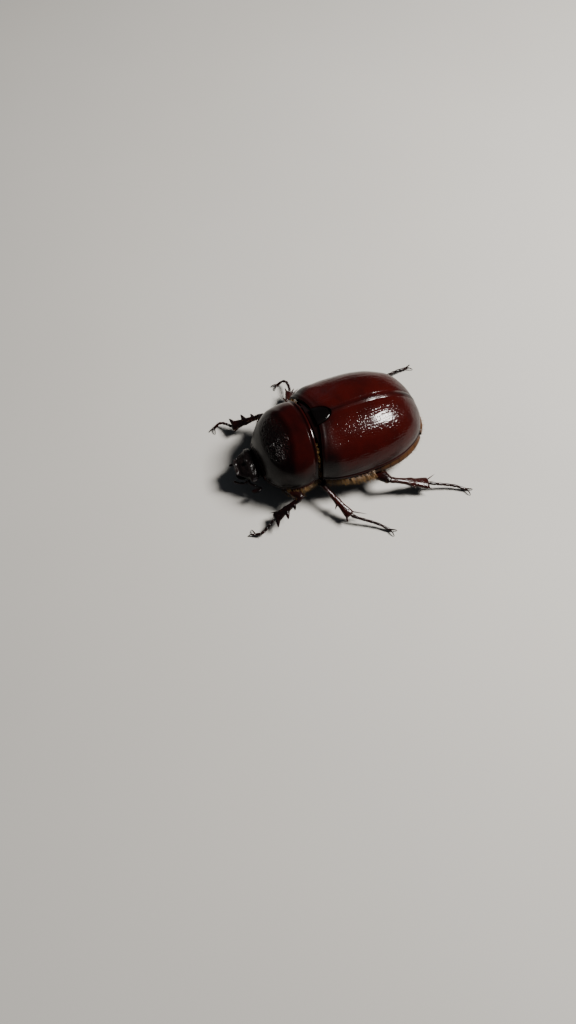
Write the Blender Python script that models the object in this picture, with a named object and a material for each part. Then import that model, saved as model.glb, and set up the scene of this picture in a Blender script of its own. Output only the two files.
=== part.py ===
"""A life-size female rhinoceros beetle, walking, built in Blender as separate closed solids.

Metres, +Z up. The head points along -Y and the beetle's left side is +X. The shape is worked out
with the hind edge of the shield at y = 0 and the floor at z = 0, and the whole beetle is then slid
so that the middle of its footprint is the world origin.
"""

from math import atan2, copysign, cos, exp, pi, radians, sin, sqrt

import bmesh
import bpy
from mathutils import Euler, Matrix, Vector

MM = 0.001

# Driving sizes of the hind body: the wing cases, and the belly under them.
HIND_LENGTH = 20.8 * MM
HIND_HALF_WIDTH = 9.3 * MM
HIND_DOME = 7.8 * MM  # height of the wing cases above their lower edge
EDGE_HEIGHT = 6.3 * MM  # that lower edge above the floor, at its front end
EDGE_DROP = 0.7 * MM  # how far it sinks towards the tip
BELLY_DEPTH = 3.6 * MM
BELLY_LENGTH = 21.3 * MM
BELLY_SWELL = 0.6 * MM  # how far the belly bulges past the wing cases near its end
THORAX_LENGTH = 8.6 * MM
PYGIDIUM_START = 19.4 * MM
SHELL = 0.65 * MM  # thickness of a wing case
SHOULDER_START = -0.25 * MM  # where the wing cases begin at their outer edges
SHELL_NOTCH = 1.6 * MM  # how much further back they begin beside the scutellum
NOTCH_SPREAD = 0.215  # share of the width over which that notch dies away
SEAM = 0.1 * MM  # gap between neighbouring pieces

# Driving sizes of the fore body: the shield with the chest below it, and the head.
SHIELD_LENGTH = 9.1 * MM
SHIELD_HALF_WIDTH = 7.75 * MM
SHIELD_DOME = 7.5 * MM
SHIELD_EDGE_HEIGHT = 6.0 * MM
SHIELD_EDGE_DROP = 1.5 * MM
CHEST_DEPTH = 2.9 * MM
HIND_CORNER_PULL = 0.7 * MM  # the shield's hind corners lie this far ahead of its middle
SCUTELLUM_HALF_WIDTH = 1.8 * MM
SCUTELLUM_START = 0.9 * MM
SCUTELLUM_LENGTH = 3.2 * MM
HEAD_TURN = radians(-7)
EYE_RADIUS = 0.65 * MM

# Joints of each leg, in millimetres: hip, knee, ankle, then the tarsus down to the claws.
LEGS = {
    "front_left": (
        (3.5, -6.6, 3.6), (8.9, -4.6, 4.4), (9.9, -9.9, 1.9),
        (10.4, -10.9, 1.5), (11.0, -12.2, 1.0), (11.25, -13.3, 0.7), (10.75, -13.75, 0.4),
    ),
    "front_right": (
        (-3.5, -6.6, 3.6), (-9.0, -4.8, 4.3), (-10.3, -10.3, 1.9),
        (-11.2, -10.7, 1.5), (-12.3, -11.6, 1.0), (-12.5, -12.6, 0.7), (-12.1, -13.0, 0.4),
    ),
    "middle_left": (
        (2.6, 2.6, 3.0), (7.9, -0.3, 4.2), (14.1, 2.5, 1.9),
        (15.3, 4.2, 1.5), (16.7, 6.3, 1.0), (17.9, 7.6, 0.7), (18.5, 8.1, 0.4),
    ),
    "middle_right": (
        (-2.6, 2.6, 3.0), (-7.4, -1.0, 4.3), (-13.2, 2.2, 1.9),
        (-14.7, 2.7, 1.8), (-16.3, 2.6, 1.5), (-16.9, 1.8, 0.9), (-16.7, 1.1, 0.4),
    ),
    "hind_left": (
        (3.4, 6.8, 3.0), (11.1, 10.7, 4.1), (13.4, 17.8, 1.8),
        (13.9, 19.4, 1.4), (14.7, 21.4, 1.0), (15.7, 23.3, 0.7), (16.3, 23.9, 0.4),
    ),
    "hind_right": (
        (-3.4, 6.8, 3.0), (-10.3, 12.0, 4.3), (-9.9, 19.3, 1.9),
        (-10.4, 20.9, 1.5), (-10.9, 22.8, 1.0), (-11.2, 24.8, 0.7), (-11.2, 25.4, 0.4),
    ),
}
CLAW_REACH = 1.1 * MM
COXA_RADIUS = 1.15 * MM
THIGH_HALF_WIDTH = {"front": 1.25 * MM, "middle": 1.3 * MM, "hind": 1.5 * MM}
THIGH_HALF_DEPTH = 0.8 * MM
SHIN_FLARE = {"front": 1.0 * MM, "middle": 0.95 * MM, "hind": 1.3 * MM}  # half width at the ankle
TARSUS_RADIUS = 0.36 * MM
FEELER_RADIUS = 0.27 * MM
FEELER_TUCK = 1.0  # how much closer in, in millimetres, the right feeler is carried
FEELER_SINK = 0.6  # and how much lower

LEVELS_HIND = 13
SIDES_SHELL = 24
SIDES_HIND = 20
SIDES_LIMB = 8

for leftover in list(bpy.data.objects):
    bpy.data.objects.remove(leftover)


# ---- Helpers -------------------------------------------------------------------------------


def chitin(name, colour, roughness):
    """A glossy shell material of one colour."""
    material = bpy.data.materials.new(name)
    material.use_nodes = True
    shader = material.node_tree.nodes["Principled BSDF"]
    shader.inputs["Base Color"].default_value = (*colour, 1)
    shader.inputs["Roughness"].default_value = roughness
    shader.inputs["Metallic"].default_value = 0.0
    return material


MAHOGANY = chitin("mahogany_shell", (0.13, 0.018, 0.012), 0.22)
BLACK = chitin("black_shell", (0.018, 0.010, 0.009), 0.3)
LEG = chitin("leg_shell", (0.07, 0.014, 0.010), 0.28)
TAN = chitin("tan_shell", (0.20, 0.075, 0.025), 0.45)
EYE = chitin("eye", (0.01, 0.01, 0.012), 0.12)

beetle = bpy.data.objects.new("beetle", None)
bpy.context.scene.collection.objects.link(beetle)


def add(name, bm, material, helper=False):
    """Turns a bmesh into an object under the beetle; a helper only cuts or joins others."""
    bmesh.ops.recalc_face_normals(bm, faces=bm.faces)
    if bm.calc_volume(signed=True) < 0:
        bmesh.ops.reverse_faces(bm, faces=bm.faces)
    mesh = bpy.data.meshes.new(name)
    bm.to_mesh(mesh)
    bm.free()
    mesh.materials.append(material)
    mesh.shade_smooth()
    mesh.set_sharp_from_angle(angle=radians(40))
    obj = bpy.data.objects.new(name, mesh)
    bpy.context.scene.collection.objects.link(obj)
    obj.parent = beetle
    if helper:
        obj.hide_render = True
        obj.display_type = "WIRE"
    return obj


def combine(obj, operation, *helpers):
    """Live exact Booleans on obj, one for each helper."""
    for helper in helpers:
        modifier = obj.modifiers.new(f"{operation.lower()}_{helper.name}", "BOOLEAN")
        modifier.operation = operation
        modifier.solver = "EXACT"
        modifier.object = helper
    return obj


def tube(steps, sides, place):
    """A closed bar of rings; place(step, angle) says where the point at that angle goes."""
    bm = bmesh.new()
    bmesh.ops.create_cone(
        bm, cap_ends=True, segments=sides, radius1=1, radius2=1, depth=steps,
    )
    long_edges = [e for e in bm.edges if abs(e.verts[0].co.z - e.verts[1].co.z) > 0.5]
    bmesh.ops.subdivide_edges(bm, edges=long_edges, cuts=steps - 1)
    for vert in bm.verts:
        step = round(vert.co.z + steps / 2)
        vert.co = place(step, atan2(vert.co.y, vert.co.x) % (2 * pi))
    return bm


def bar(stations, across, sides=SIDES_LIMB, grow=0.0):
    """A rounded bar through stations of (centre, half width along across, half depth)."""
    centres = [Vector(centre) for centre, _, _ in stations]

    def place(step, angle):
        behind = centres[max(step - 1, 0)]
        ahead = centres[min(step + 1, len(centres) - 1)]
        along = (ahead - behind).normalized()
        side = (across - along * across.dot(along)).normalized()
        up = along.cross(side)
        _, half_width, half_depth = stations[step]
        end = {0: -grow, len(centres) - 1: grow}.get(step, 0.0)
        spread = side * (half_width + grow) * cos(angle) + up * (half_depth + grow) * sin(angle)
        return centres[step] + along * end + spread

    return tube(len(centres) - 1, sides, place)


def spike(name, root, tip, radius, material=LEG, sides=5):
    """A blunt cone helper from root to tip."""
    root, tip = Vector(root), Vector(tip)
    bm = bmesh.new()
    length = (tip - root).length
    bmesh.ops.create_cone(
        bm, cap_ends=True, segments=sides, radius1=radius, radius2=radius * 0.3, depth=length,
    )
    turn = (tip - root).to_track_quat("Z", "Y").to_matrix().to_4x4()
    middle = Matrix.Translation((root + tip) / 2)
    bmesh.ops.transform(bm, matrix=middle @ turn, verts=bm.verts)
    return add(name, bm, material, helper=True)


def ball(centre, radii, segments=8, rings=6):
    """An ellipsoid's bmesh."""
    bm = bmesh.new()
    bmesh.ops.create_uvsphere(bm, u_segments=segments, v_segments=rings, radius=1)
    place = Matrix.Translation(centre) @ Matrix.Diagonal((*radii, 1))
    bmesh.ops.transform(bm, matrix=place, verts=bm.verts)
    return bm


def power(value, exponent):
    """A power that keeps its sign."""
    return copysign(abs(value) ** exponent, value)


def rise_and_round(share, start, peak, blunt, root):
    """From start of the full size at share 0 to all of it at peak, then rounded off to 0 at 1."""
    if share < peak:
        return start + (1 - start) * sin(share / peak * pi / 2)
    past = min(1.0, (share - peak) / (1 - peak))
    return (1 - past**blunt) ** (1 / root)


# ---- Hind body -----------------------------------------------------------------------------


def hind_point(y, across, shrink):
    """The dome over the hind body, shrink inside the wing cases' outer face.

    across runs from 0 at the beetle's right edge, over the middle, to 1 at its left edge.
    """
    share = y / (HIND_LENGTH - shrink)
    width = (HIND_HALF_WIDTH - shrink) * rise_and_round(share, 0.875, 0.3, 2.75, 2.2)
    dome = (HIND_DOME - shrink) * rise_and_round(share, 0.945, 0.41, 2.65, 1.9)
    angle = (across - 0.5) * pi
    x = width * power(sin(angle), 0.88)
    return Vector((x, y, edge_height(y) + dome * cos(angle) ** 0.83))


def edge_height(y):
    return EDGE_HEIGHT - EDGE_DROP * y / HIND_LENGTH


def shell_start(across):
    """Where the wing cases begin: arched forward at the shoulders, set back at the middle."""
    return SHOULDER_START + SHELL_NOTCH * exp(-(((across - 0.5) / NOTCH_SPREAD) ** 2))


def shell_strip(levels, sides, reach, near, far, start=None):
    """A curved strip of wing case from near to far across, and from its start back to reach."""

    def place(step, angle):
        index = round(angle / (2 * pi) * sides) % sides
        outer = index < sides // 2
        along = index if outer else sides - 1 - index
        across = near + (far - near) * along / (sides // 2 - 1)
        shrink = 0.0 if outer else SHELL
        front = shell_start(across) if start is None else start
        y = front + (HIND_LENGTH - shrink - front) * sin(reach * step / levels * pi / 2)
        return hind_point(y, across, shrink)

    return tube(levels, sides, place)


def scutellum_plug(grow):
    """Upright oval post with the outline of the scutellum, used to part it from the wing cases."""
    bm = bmesh.new()
    bmesh.ops.create_cone(bm, cap_ends=True, segments=28, radius1=1, radius2=1, depth=1)
    width = SCUTELLUM_HALF_WIDTH + grow
    length = SCUTELLUM_LENGTH + grow
    height = 4 * MM
    middle = (0, SCUTELLUM_START, EDGE_HEIGHT + HIND_DOME)
    post = Matrix.Translation(middle) @ Matrix.Diagonal(
        (width, length, height, 1)
    )
    bmesh.ops.transform(bm, matrix=post, verts=bm.verts)
    return add(f"scutellum_plug_{round(grow / SEAM)}", bm, BLACK, helper=True)


def elytron(name, side, plug):
    """One wing case: a domed shell from the seam down the back to the outer edge."""
    bm = shell_strip(LEVELS_HIND, SIDES_SHELL, 0.994, 0.5, 1.0)
    for vert in bm.verts:
        vert.co.x = side * (vert.co.x + SEAM / 2)
    return combine(add(name, bm, MAHOGANY), "DIFFERENCE", plug)


def scutellum():
    """The small rounded plate between the bases of the wing cases."""
    bm = shell_strip(4, 14, 0.17, 0.42, 0.58, SCUTELLUM_START)
    return combine(add("scutellum", bm, BLACK), "INTERSECT", scutellum_plug(0.0))


def belly_size(y):
    """Half width and depth of the underside."""
    share = y / BELLY_LENGTH
    swell = BELLY_SWELL * min(1.0, share / 0.5)
    width = (HIND_HALF_WIDTH - 0.2 * MM + swell) * rise_and_round(share, 0.84, 0.3, 2.9, 2.2)
    depth = BELLY_DEPTH * rise_and_round(share, 0.9, 0.3, 2.6, 2.0)
    return width, depth


def trunk(y_start, y_end, levels):
    """A length of the body under the wing cases: domed above the edge, rounded below it."""

    def place(step, angle):
        y = y_start + (y_end - y_start) * step / levels
        if sin(angle) >= -1e-6:
            return hind_point(y, 1 - angle / pi, SHELL + SEAM)
        width, depth = belly_size(y)
        x = width * power(cos(angle), 0.75)
        return Vector((x, y, edge_height(y) - SEAM + depth * power(sin(angle), 0.8)))

    return tube(levels, SIDES_HIND, place)


def pygidium():
    """The last plate of the abdomen, showing behind the tips of the wing cases."""
    levels = 4

    def place(step, angle):
        end = BELLY_LENGTH - 0.03 * MM
        y = PYGIDIUM_START + SEAM + (end - PYGIDIUM_START - SEAM) * sin(step / levels * pi / 2)
        width, depth = belly_size(y)
        below = edge_height(HIND_LENGTH) - 2 * SEAM
        lift = 0.0 if sin(angle) > 0 else depth * sin(angle)
        droop = 0.5 * MM * (y - PYGIDIUM_START) / (end - PYGIDIUM_START)
        return Vector((width * cos(angle), y, below - droop + lift + 0.12 * depth * sin(angle)))

    return add("pygidium", tube(levels, 20, place), TAN)


# ---- Fore body -----------------------------------------------------------------------------


def prothorax():
    """The shield over the front of the body with the chest below it, in one closed ring."""
    levels = 10

    def place(step, angle):
        share = sin(step / levels * pi / 2)
        width = SHIELD_HALF_WIDTH * rise_and_round(share * 0.926, 0.94, 0.275, 2.0, 2.0)
        dome = SHIELD_DOME * sqrt(1 - (max(0.0, share - 0.15) / 0.85 * 0.985) ** 2.2)
        depth = CHEST_DEPTH * (0.85 + 0.15 * sin(share * pi) - 0.35 * share**3)
        x = width * power(cos(angle), 0.95)
        up = dome * sin(angle) ** 0.85 if sin(angle) > 1e-6 else depth * sin(angle)
        pull = HIND_CORNER_PULL * cos(angle) ** 2 * (1 - share)
        y = -SEAM - (SHIELD_LENGTH - SEAM) * share - pull
        return Vector((x, y, SHIELD_EDGE_HEIGHT - SHIELD_EDGE_DROP * share + up))

    return add("prothorax", tube(levels, SIDES_HIND, place), MAHOGANY)


def head_frame():
    """Turns points about the neck."""
    neck = Vector((0, -SHIELD_LENGTH, 4.4 * MM))
    return Matrix.Translation(neck) @ Euler((0, 0, HEAD_TURN)).to_matrix().to_4x4()


def in_head(x, y, z):
    """A point of the head, in millimetres from the neck, placed on the beetle."""
    return head_frame() @ (Vector((x, y, z)) * MM)


def head_bar(grow):
    """The head's stations from the neck to the front edge, which turns up a little."""
    stations = (
        (in_head(0, 0.6, -0.1), 2.3 * MM, 1.0 * MM),
        (in_head(0, -0.3, 0.0), 2.8 * MM, 1.15 * MM),
        (in_head(0, -0.95, 0.1), 3.05 * MM, 1.2 * MM),
        (in_head(0, -1.7, 0.1), 2.95 * MM, 1.2 * MM),
        (in_head(0, -2.5, 0.0), 2.35 * MM, 1.0 * MM),
        (in_head(0, -3.2, -0.05), 1.8 * MM, 0.75 * MM),
        (in_head(0, -3.7, 0.0), 1.5 * MM, 0.5 * MM),
        (in_head(0, -3.95, 0.12), 1.3 * MM, 0.35 * MM),
    )
    return bar(stations, Vector((1, 0, 0)), sides=18, grow=grow)


def head(sockets):
    """Head with its front edge drawn into two short teeth."""
    obj = add("head", head_bar(0.0), BLACK)
    teeth = [
        spike(
            f"clypeus_tooth_{index}",
            in_head(side * 0.7, -3.4, 0.15),
            in_head(side * 0.8, -3.95, 0.6),
            0.34 * MM,
            BLACK,
        )
        for index, side in enumerate((-1, 1))
    ]
    combine(obj, "UNION", *teeth)
    return combine(obj, "DIFFERENCE", *sockets)


def horn():
    """The low knob that a female carries in place of the horn."""
    stations = (
        (in_head(0, -1.9, 1.36), 0.5 * MM, 0.4 * MM),
        (in_head(0, -1.93, 1.65), 0.42 * MM, 0.36 * MM),
        (in_head(0, -1.9, 1.95), 0.26 * MM, 0.25 * MM),
    )
    return add("horn", bar(stations, Vector((1, 0, 0)), sides=12), BLACK)


def eye(name, side, grow=0.0, helper=False):
    """A round eye set in the side of the head."""
    radius = EYE_RADIUS + grow
    place = in_head(side * 2.75, -1.25, 0.0)
    return add(name, ball(place, (radius, radius, radius)), EYE, helper)


def antenna(name, side, skull):
    """A short stalk that ends in a closed oval club; the right one is folded under the head."""
    tuck = FEELER_TUCK if side < 0 else 0
    sink = FEELER_SINK if side < 0 else 0
    stations = (
        (in_head(side * 2.0, -2.3, -0.5), FEELER_RADIUS, FEELER_RADIUS),
        (in_head(side * (2.9 - tuck / 4), -2.2, -0.95 - sink / 4), FEELER_RADIUS, FEELER_RADIUS),
        (in_head(side * (3.5 - tuck), -1.5, -1.1 - sink), FEELER_RADIUS, FEELER_RADIUS),
        (in_head(side * (4.0 - tuck), -0.7, -1.1 - sink), FEELER_RADIUS, FEELER_RADIUS),
        (in_head(side * (4.4 - tuck), -0.25, -1.05 - sink), FEELER_RADIUS, FEELER_RADIUS),
        (in_head(side * (4.78 - tuck), -0.5, -1.0 - sink), 0.33 * MM, 0.27 * MM),
        (in_head(side * (4.8 - tuck), -1.1, -1.0 - sink), 0.5 * MM, 0.36 * MM),
        (in_head(side * (4.78 - tuck), -1.7, -1.0 - sink), 0.44 * MM, 0.33 * MM),
        (in_head(side * (4.72 - tuck), -2.2, -1.0 - sink), 0.15 * MM, 0.14 * MM),
    )
    obj = add(name, bar(stations, Vector((0.3, 0.2, 1)), sides=7), LEG)
    return combine(obj, "DIFFERENCE", skull)


def palp(name, side, skull):
    """A thin jointed feeler beside the mouth."""
    stations = (
        (in_head(side * 1.6, -1.5, -0.8), FEELER_RADIUS, FEELER_RADIUS),
        (in_head(side * 1.95, -1.9, -1.5), FEELER_RADIUS, FEELER_RADIUS),
        (in_head(side * 2.25, -2.9, -1.75), FEELER_RADIUS * 1.1, FEELER_RADIUS),
        (in_head(side * 2.05, -4.0, -1.7), FEELER_RADIUS * 1.1, FEELER_RADIUS),
        (in_head(side * 1.6, -4.7, -1.5), FEELER_RADIUS * 0.6, FEELER_RADIUS * 0.6),
    )
    obj = add(name, bar(stations, Vector((0.2, 0.1, 1))), LEG)
    return combine(obj, "DIFFERENCE", skull)


def mandible(name, side):
    """One jaw, a curved blade under the front edge of the head."""
    stations = (
        (in_head(side * 1.1, -2.5, -1.3), 0.4 * MM, 0.26 * MM),
        (in_head(side * 1.4, -3.1, -1.1), 0.5 * MM, 0.27 * MM),
        (in_head(side * 1.15, -3.7, -0.92), 0.4 * MM, 0.25 * MM),
        (in_head(side * 0.65, -4.05, -0.8), 0.2 * MM, 0.18 * MM),
    )
    return add(name, bar(stations, Vector((1, 0, 0)), sides=8), BLACK)


def labium():
    """The chin plate that closes the mouth from below."""
    stations = (
        (in_head(0, -0.4, -1.72), 1.3 * MM, 0.45 * MM),
        (in_head(0, -1.2, -1.72), 1.45 * MM, 0.5 * MM),
        (in_head(0, -2.1, -1.62), 1.2 * MM, 0.45 * MM),
        (in_head(0, -2.6, -1.5), 0.7 * MM, 0.3 * MM),
    )
    return add("labium", bar(stations, Vector((1, 0, 0)), sides=10), TAN)


# ---- Legs ----------------------------------------------------------------------------------


def leg_points(leg):
    return [Vector(point) * MM for point in LEGS[leg]]


def femur_bar(leg, grow):
    """The flattened thigh from hip to knee."""
    hip, knee = leg_points(leg)[:2]
    pair = leg.split("_")[0]
    wide = THIGH_HALF_WIDTH[pair]
    shape = (
        (0.0, 0.45, 0.6),
        (0.12, 0.7, 0.85),
        (0.4, 1.0, 1.0),
        (0.7, 0.95, 1.0),
        (0.92, 0.72, 0.9),
        (1.02, 0.5, 0.65),
        (1.07, 0.2, 0.25),
    )
    stations = [
        (hip.lerp(knee, share), wide * width, THIGH_HALF_DEPTH * depth)
        for share, width, depth in shape
    ]
    flat = (knee - hip).cross(Vector((0, 0, 1)))
    return bar(stations, flat, grow=grow)


def tibia_bar(leg, grow):
    """The shin from knee to ankle, flaring towards the foot."""
    knee, ankle = leg_points(leg)[1:3]
    pair = leg.split("_")[0]
    flare = SHIN_FLARE[pair]
    shape = ((0.0, 0.45, 0.4), (0.15, 0.52, 0.5), (0.5, 0.65, 0.55), (0.85, 0.9, 0.6), (1.0, 1.0, 0.6))
    stations = [
        (knee.lerp(ankle, share), flare * width, depth * MM) for share, width, depth in shape
    ]
    return bar(stations, outward(leg), grow=grow)


def outward(leg):
    """The direction away from the body, square to the shin."""
    knee, ankle = leg_points(leg)[1:3]
    along = (ankle - knee).normalized()
    side = {
        "middle_left": Vector((0, -1, 0)),
        "middle_right": Vector((0, -1, 0.8)),
    }.get(leg, Vector((1 if "left" in leg else -1, 0, 0)))
    return (side - along * side.dot(along)).normalized()


def shin_spikes(leg):
    """Roots and tips of the teeth, spines and spurs on the shin."""
    knee, ankle = leg_points(leg)[1:3]
    along = (ankle - knee).normalized()
    out = outward(leg)
    face = along.cross(out)

    def at(share, side, forward=0.0, deep=0.0):
        base = knee.lerp(ankle, share)
        return base + (out * side + along * forward + face * deep) * MM

    if leg.startswith("front"):
        return (
            (at(0.92, 0.2), at(0.98, 1.75, 0.35), 0.5),
            (at(0.58, 0.1), at(0.6, 1.75, 0.35), 0.55),
            (at(0.3, 0.1), at(0.31, 1.15, 0.25), 0.42),
            (at(0.7, -0.4), at(1.0, -1.55, 0.2), 0.28),
        )
    return (
        (at(0.55, 0.0), at(0.6, 1.3, 0.3), 0.36),
        (at(0.55, 0.1, deep=0.1), at(0.62, 0.3, 0.3, 1.0), 0.36),
        (at(0.93, 0.5), at(1.0, 1.2, 0.5), 0.36),
        (at(0.93, -0.2, deep=0.1), at(1.0, -0.2, 0.7, 0.95), 0.34),
        (at(0.9, -0.5), at(1.0, -2.5, 1.9, 0.3), 0.28),
        (at(0.9, -0.3, deep=0.2), at(1.0, -1.3, 1.9, 0.9), 0.28),
    )


def tarsus_bar(leg):
    """The five beads of the tarsus, strung from ankle to claws."""
    path = leg_points(leg)[2:]
    beads = 5
    per_bead = 2
    lengths = [(b - a).length for a, b in zip(path, path[1:])]
    total = sum(lengths)

    def along(share):
        left = share * total
        for start, end, length in zip(path, path[1:], lengths):
            if left <= length:
                return start.lerp(end, left / length)
            left -= length
        return path[-1]

    stations = []
    for index in range(beads * per_bead + 1):
        swell = (0.75, 1.12)[index % per_bead]
        radius = TARSUS_RADIUS * swell
        stations.append((along(index / (beads * per_bead)), radius, radius))
    return bar(stations, Vector((0, 0, 1)), sides=6)


def claws(leg):
    """Two curved hooks spread at the end of the tarsus."""
    path = leg_points(leg)
    end = path[-1]
    heading = path[-1] - path[-2]
    heading.z = 0
    heading.normalize()
    side = heading.cross(Vector((0, 0, 1)))
    hooks = []
    for index, spread in enumerate((-1, 1)):
        lean = heading + side * spread * 0.55
        stations = (
            (end + (side * spread * 0.13 - heading * 0.2) * MM, 0.2 * MM, 0.2 * MM),
            (end + lean * 0.45 * MM + Vector((0, 0, 0.17 * MM)), 0.25 * MM, 0.25 * MM),
            (end + lean * CLAW_REACH * 0.75 + Vector((0, 0, 0.0)), 0.21 * MM, 0.21 * MM),
            (end + lean * CLAW_REACH + Vector((0, 0, -0.35 * MM)), 0.12 * MM, 0.12 * MM),
        )
        bm = bar(stations, Vector((0, 0, 1)), sides=6 - index)
        hooks.append(add(f"claw_{leg}_{index}", bm, LEG, helper=True))
    return hooks


def floor_block():
    """Everything below the floor, to give the feet their flats."""
    bm = bmesh.new()
    bmesh.ops.create_cube(bm, size=0.1)
    bmesh.ops.translate(bm, verts=bm.verts, vec=(0, 0, -0.05))
    return add("floor_block", bm, BLACK, helper=True)


# ---- Assembly ------------------------------------------------------------------------------

floor = floor_block()
plug = scutellum_plug(SEAM)
elytron("elytron_left", 1, plug)
elytron("elytron_right", -1, plug)
scutellum()
chest = prothorax()
thorax = add("thorax", trunk(0.15 * MM, THORAX_LENGTH, 6), TAN)
abdomen = add("abdomen", trunk(THORAX_LENGTH + SEAM, PYGIDIUM_START, 7), TAN)
pygidium()

sockets = [eye(f"socket_{side}", side, SEAM, True) for side in (-1, 1)]
head(sockets)
skull = add("skull", head_bar(SEAM), BLACK, helper=True)
combine(chest, "DIFFERENCE", skull)
horn()
eye("eye_left", 1)
eye("eye_right", -1)
labium()
for name, side in (("left", 1), ("right", -1)):
    antenna(f"antenna_{name}", side, skull)
    palp(f"palp_{name}", side, skull)
    mandible(f"mandible_{name}", side)

room = {}
for leg in LEGS:
    hip = leg_points(leg)[0]
    inward = Vector((-0.5 if "left" in leg else 0.5, 0, 0)) * MM
    room_femur = add(f"room_femur_{leg}", femur_bar(leg, SEAM), LEG, helper=True)
    room_tibia = add(f"room_tibia_{leg}", tibia_bar(leg, SEAM), LEG, helper=True)
    radii = Vector((1.6 * MM, COXA_RADIUS, COXA_RADIUS))
    grown = radii + Vector((SEAM, SEAM, SEAM))
    room_coxa = add(f"room_coxa_{leg}", ball(hip + inward, grown), LEG, helper=True)
    room[leg] = (room_femur, room_coxa)
    coxa = add(f"coxa_{leg}", ball(hip + inward, radii), LEG)
    combine(coxa, "DIFFERENCE", room_femur)
    add(f"femur_{leg}", femur_bar(leg, 0.0), LEG)
    tibia = add(f"tibia_{leg}", tibia_bar(leg, 0.0), LEG)
    spikes = [
        spike(f"spike_{leg}_{index}", root, tip, radius * MM)
        for index, (root, tip, radius) in enumerate(shin_spikes(leg))
    ]
    combine(tibia, "UNION", *spikes)
    combine(tibia, "DIFFERENCE", room_femur)
    tarsus = add(f"tarsus_{leg}", tarsus_bar(leg), LEG)
    combine(tarsus, "UNION", *claws(leg))
    combine(tarsus, "DIFFERENCE", room_tibia, floor)

for side in ("left", "right"):
    combine(chest, "DIFFERENCE", *room[f"front_{side}"], room[f"middle_{side}"][0])
    combine(thorax, "DIFFERENCE", *room[f"middle_{side}"], *room[f"hind_{side}"])
    combine(abdomen, "DIFFERENCE", room[f"hind_{side}"][0])

# The footprint's middle goes to the world origin.
bpy.context.view_layer.update()
graph = bpy.context.evaluated_depsgraph_get()
spots = []
for obj in bpy.data.objects:
    if obj.type == "MESH" and not obj.hide_render:
        spots += [vert.co.copy() for vert in obj.evaluated_get(graph).data.vertices]
low = Vector([min(spot[axis] for spot in spots) for axis in range(3)])
high = Vector([max(spot[axis] for spot in spots) for axis in range(3)])
beetle.location = (-(low.x + high.x) / 2, -(low.y + high.y) / 2, 0)
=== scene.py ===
import bmesh
import bpy
import numpy as np
from math import cos, pi, radians, sin
from mathutils import Matrix, Vector, noise


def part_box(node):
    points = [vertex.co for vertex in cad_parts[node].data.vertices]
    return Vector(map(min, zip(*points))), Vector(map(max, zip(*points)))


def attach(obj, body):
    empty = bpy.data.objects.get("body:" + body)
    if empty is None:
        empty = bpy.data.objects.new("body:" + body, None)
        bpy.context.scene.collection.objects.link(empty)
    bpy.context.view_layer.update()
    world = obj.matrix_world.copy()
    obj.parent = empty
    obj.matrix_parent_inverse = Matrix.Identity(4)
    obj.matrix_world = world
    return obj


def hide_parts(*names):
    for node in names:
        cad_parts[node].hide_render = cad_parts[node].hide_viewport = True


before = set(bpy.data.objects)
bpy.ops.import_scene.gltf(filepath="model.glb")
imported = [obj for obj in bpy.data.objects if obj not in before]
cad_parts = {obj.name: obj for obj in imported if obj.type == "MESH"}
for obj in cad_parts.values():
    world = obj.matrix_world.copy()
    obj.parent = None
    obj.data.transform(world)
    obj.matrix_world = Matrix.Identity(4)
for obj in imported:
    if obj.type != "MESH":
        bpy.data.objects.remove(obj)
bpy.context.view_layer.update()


# ---- Wing cases ----------------------------------------------------------------------------
# Two hard domed covers of mahogany-brown chitin, hinged at their bases and shut over the hind
# body. They meet along the back in a straight seam with a raised strip on each side, are pitted
# in wavy lines, and end below in a gutter and a rounded edge bead.

MM = 0.001  # all shapes are in millimetres until a piece is set on the frame
CASE_SHOULDER = -0.25  # where a wing case begins at its shoulder and, set back, at the seam
CASE_NOTCH = 1.6
NOTCH_SPREAD = 0.215
CASE_LENGTH = 20.8
CASE_END = 0.9985  # share of the length at which the closed hind end is reached
CASE_HALF_WIDTH = 9.3
CASE_DOME = 7.76
SHOULDER_AT = (7.2, 2.4)  # the low knobs of each wing case, near its base and near its end
HEEL_AT = (5.0, 17.4)
CASE_FLATNESS = 0.88  # powers of the sine and cosine that shape the dome's cross-section
CASE_ROUNDNESS = 0.83
CASE_WALL = 0.65
CASE_EDGE = 6.3
CASE_EDGE_DROP = 0.7
SEAM = 0.1
SUTURE_GAP = 0.03
SUTURE_STRIP = 0.42
PIT_SPACING = (0.47, 0.45)
PIT_RADIUS = 0.08
PIT_DEPTH = 0.033
# Darkness marks blend from the lit to the deep colour; on the wing cases, shield and thorax part of
# that darkening is painted shade.
MAHOGANY_DEEP = (0.0022, 0.0007, 0.0007)
MAHOGANY_LIT = (0.0135, 0.0010, 0.0007)
SHELL_SHEEN = 0.13
SHELL_BEND = 1.56  # refractive index of chitin
FROST = 0.38  # roughness that a fully frosted shell adds
CREASE = radians(55)  # edges sharper than this are not smoothed


def rise_and_round(share, start, peak, blunt, root):
    """From start of the full size at share 0 to all of it at peak, rounded off to 0 at 1."""
    share = np.asarray(share, float)
    rising = start + (1 - start) * np.sin(np.clip(share / peak, 0, 1) * pi / 2)
    past = np.clip((share - peak) / (1 - peak), 0, 1)
    return np.where(share < peak, rising, (1 - past**blunt) ** (1 / root))


def power(value, exponent):
    return np.copysign(np.abs(value) ** exponent, value)


def bell(distance, width):
    return np.exp(-((distance / width) ** 2))


def ramp(value, low, high):
    """Smoothly from 0 at low to 1 at high."""
    share = np.clip((value - low) / (high - low), 0, 1)
    return share * share * (3 - 2 * share)


def as_points(x, y, z):
    return np.stack(np.broadcast_arrays(x, y, z), axis=-1)


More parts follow.
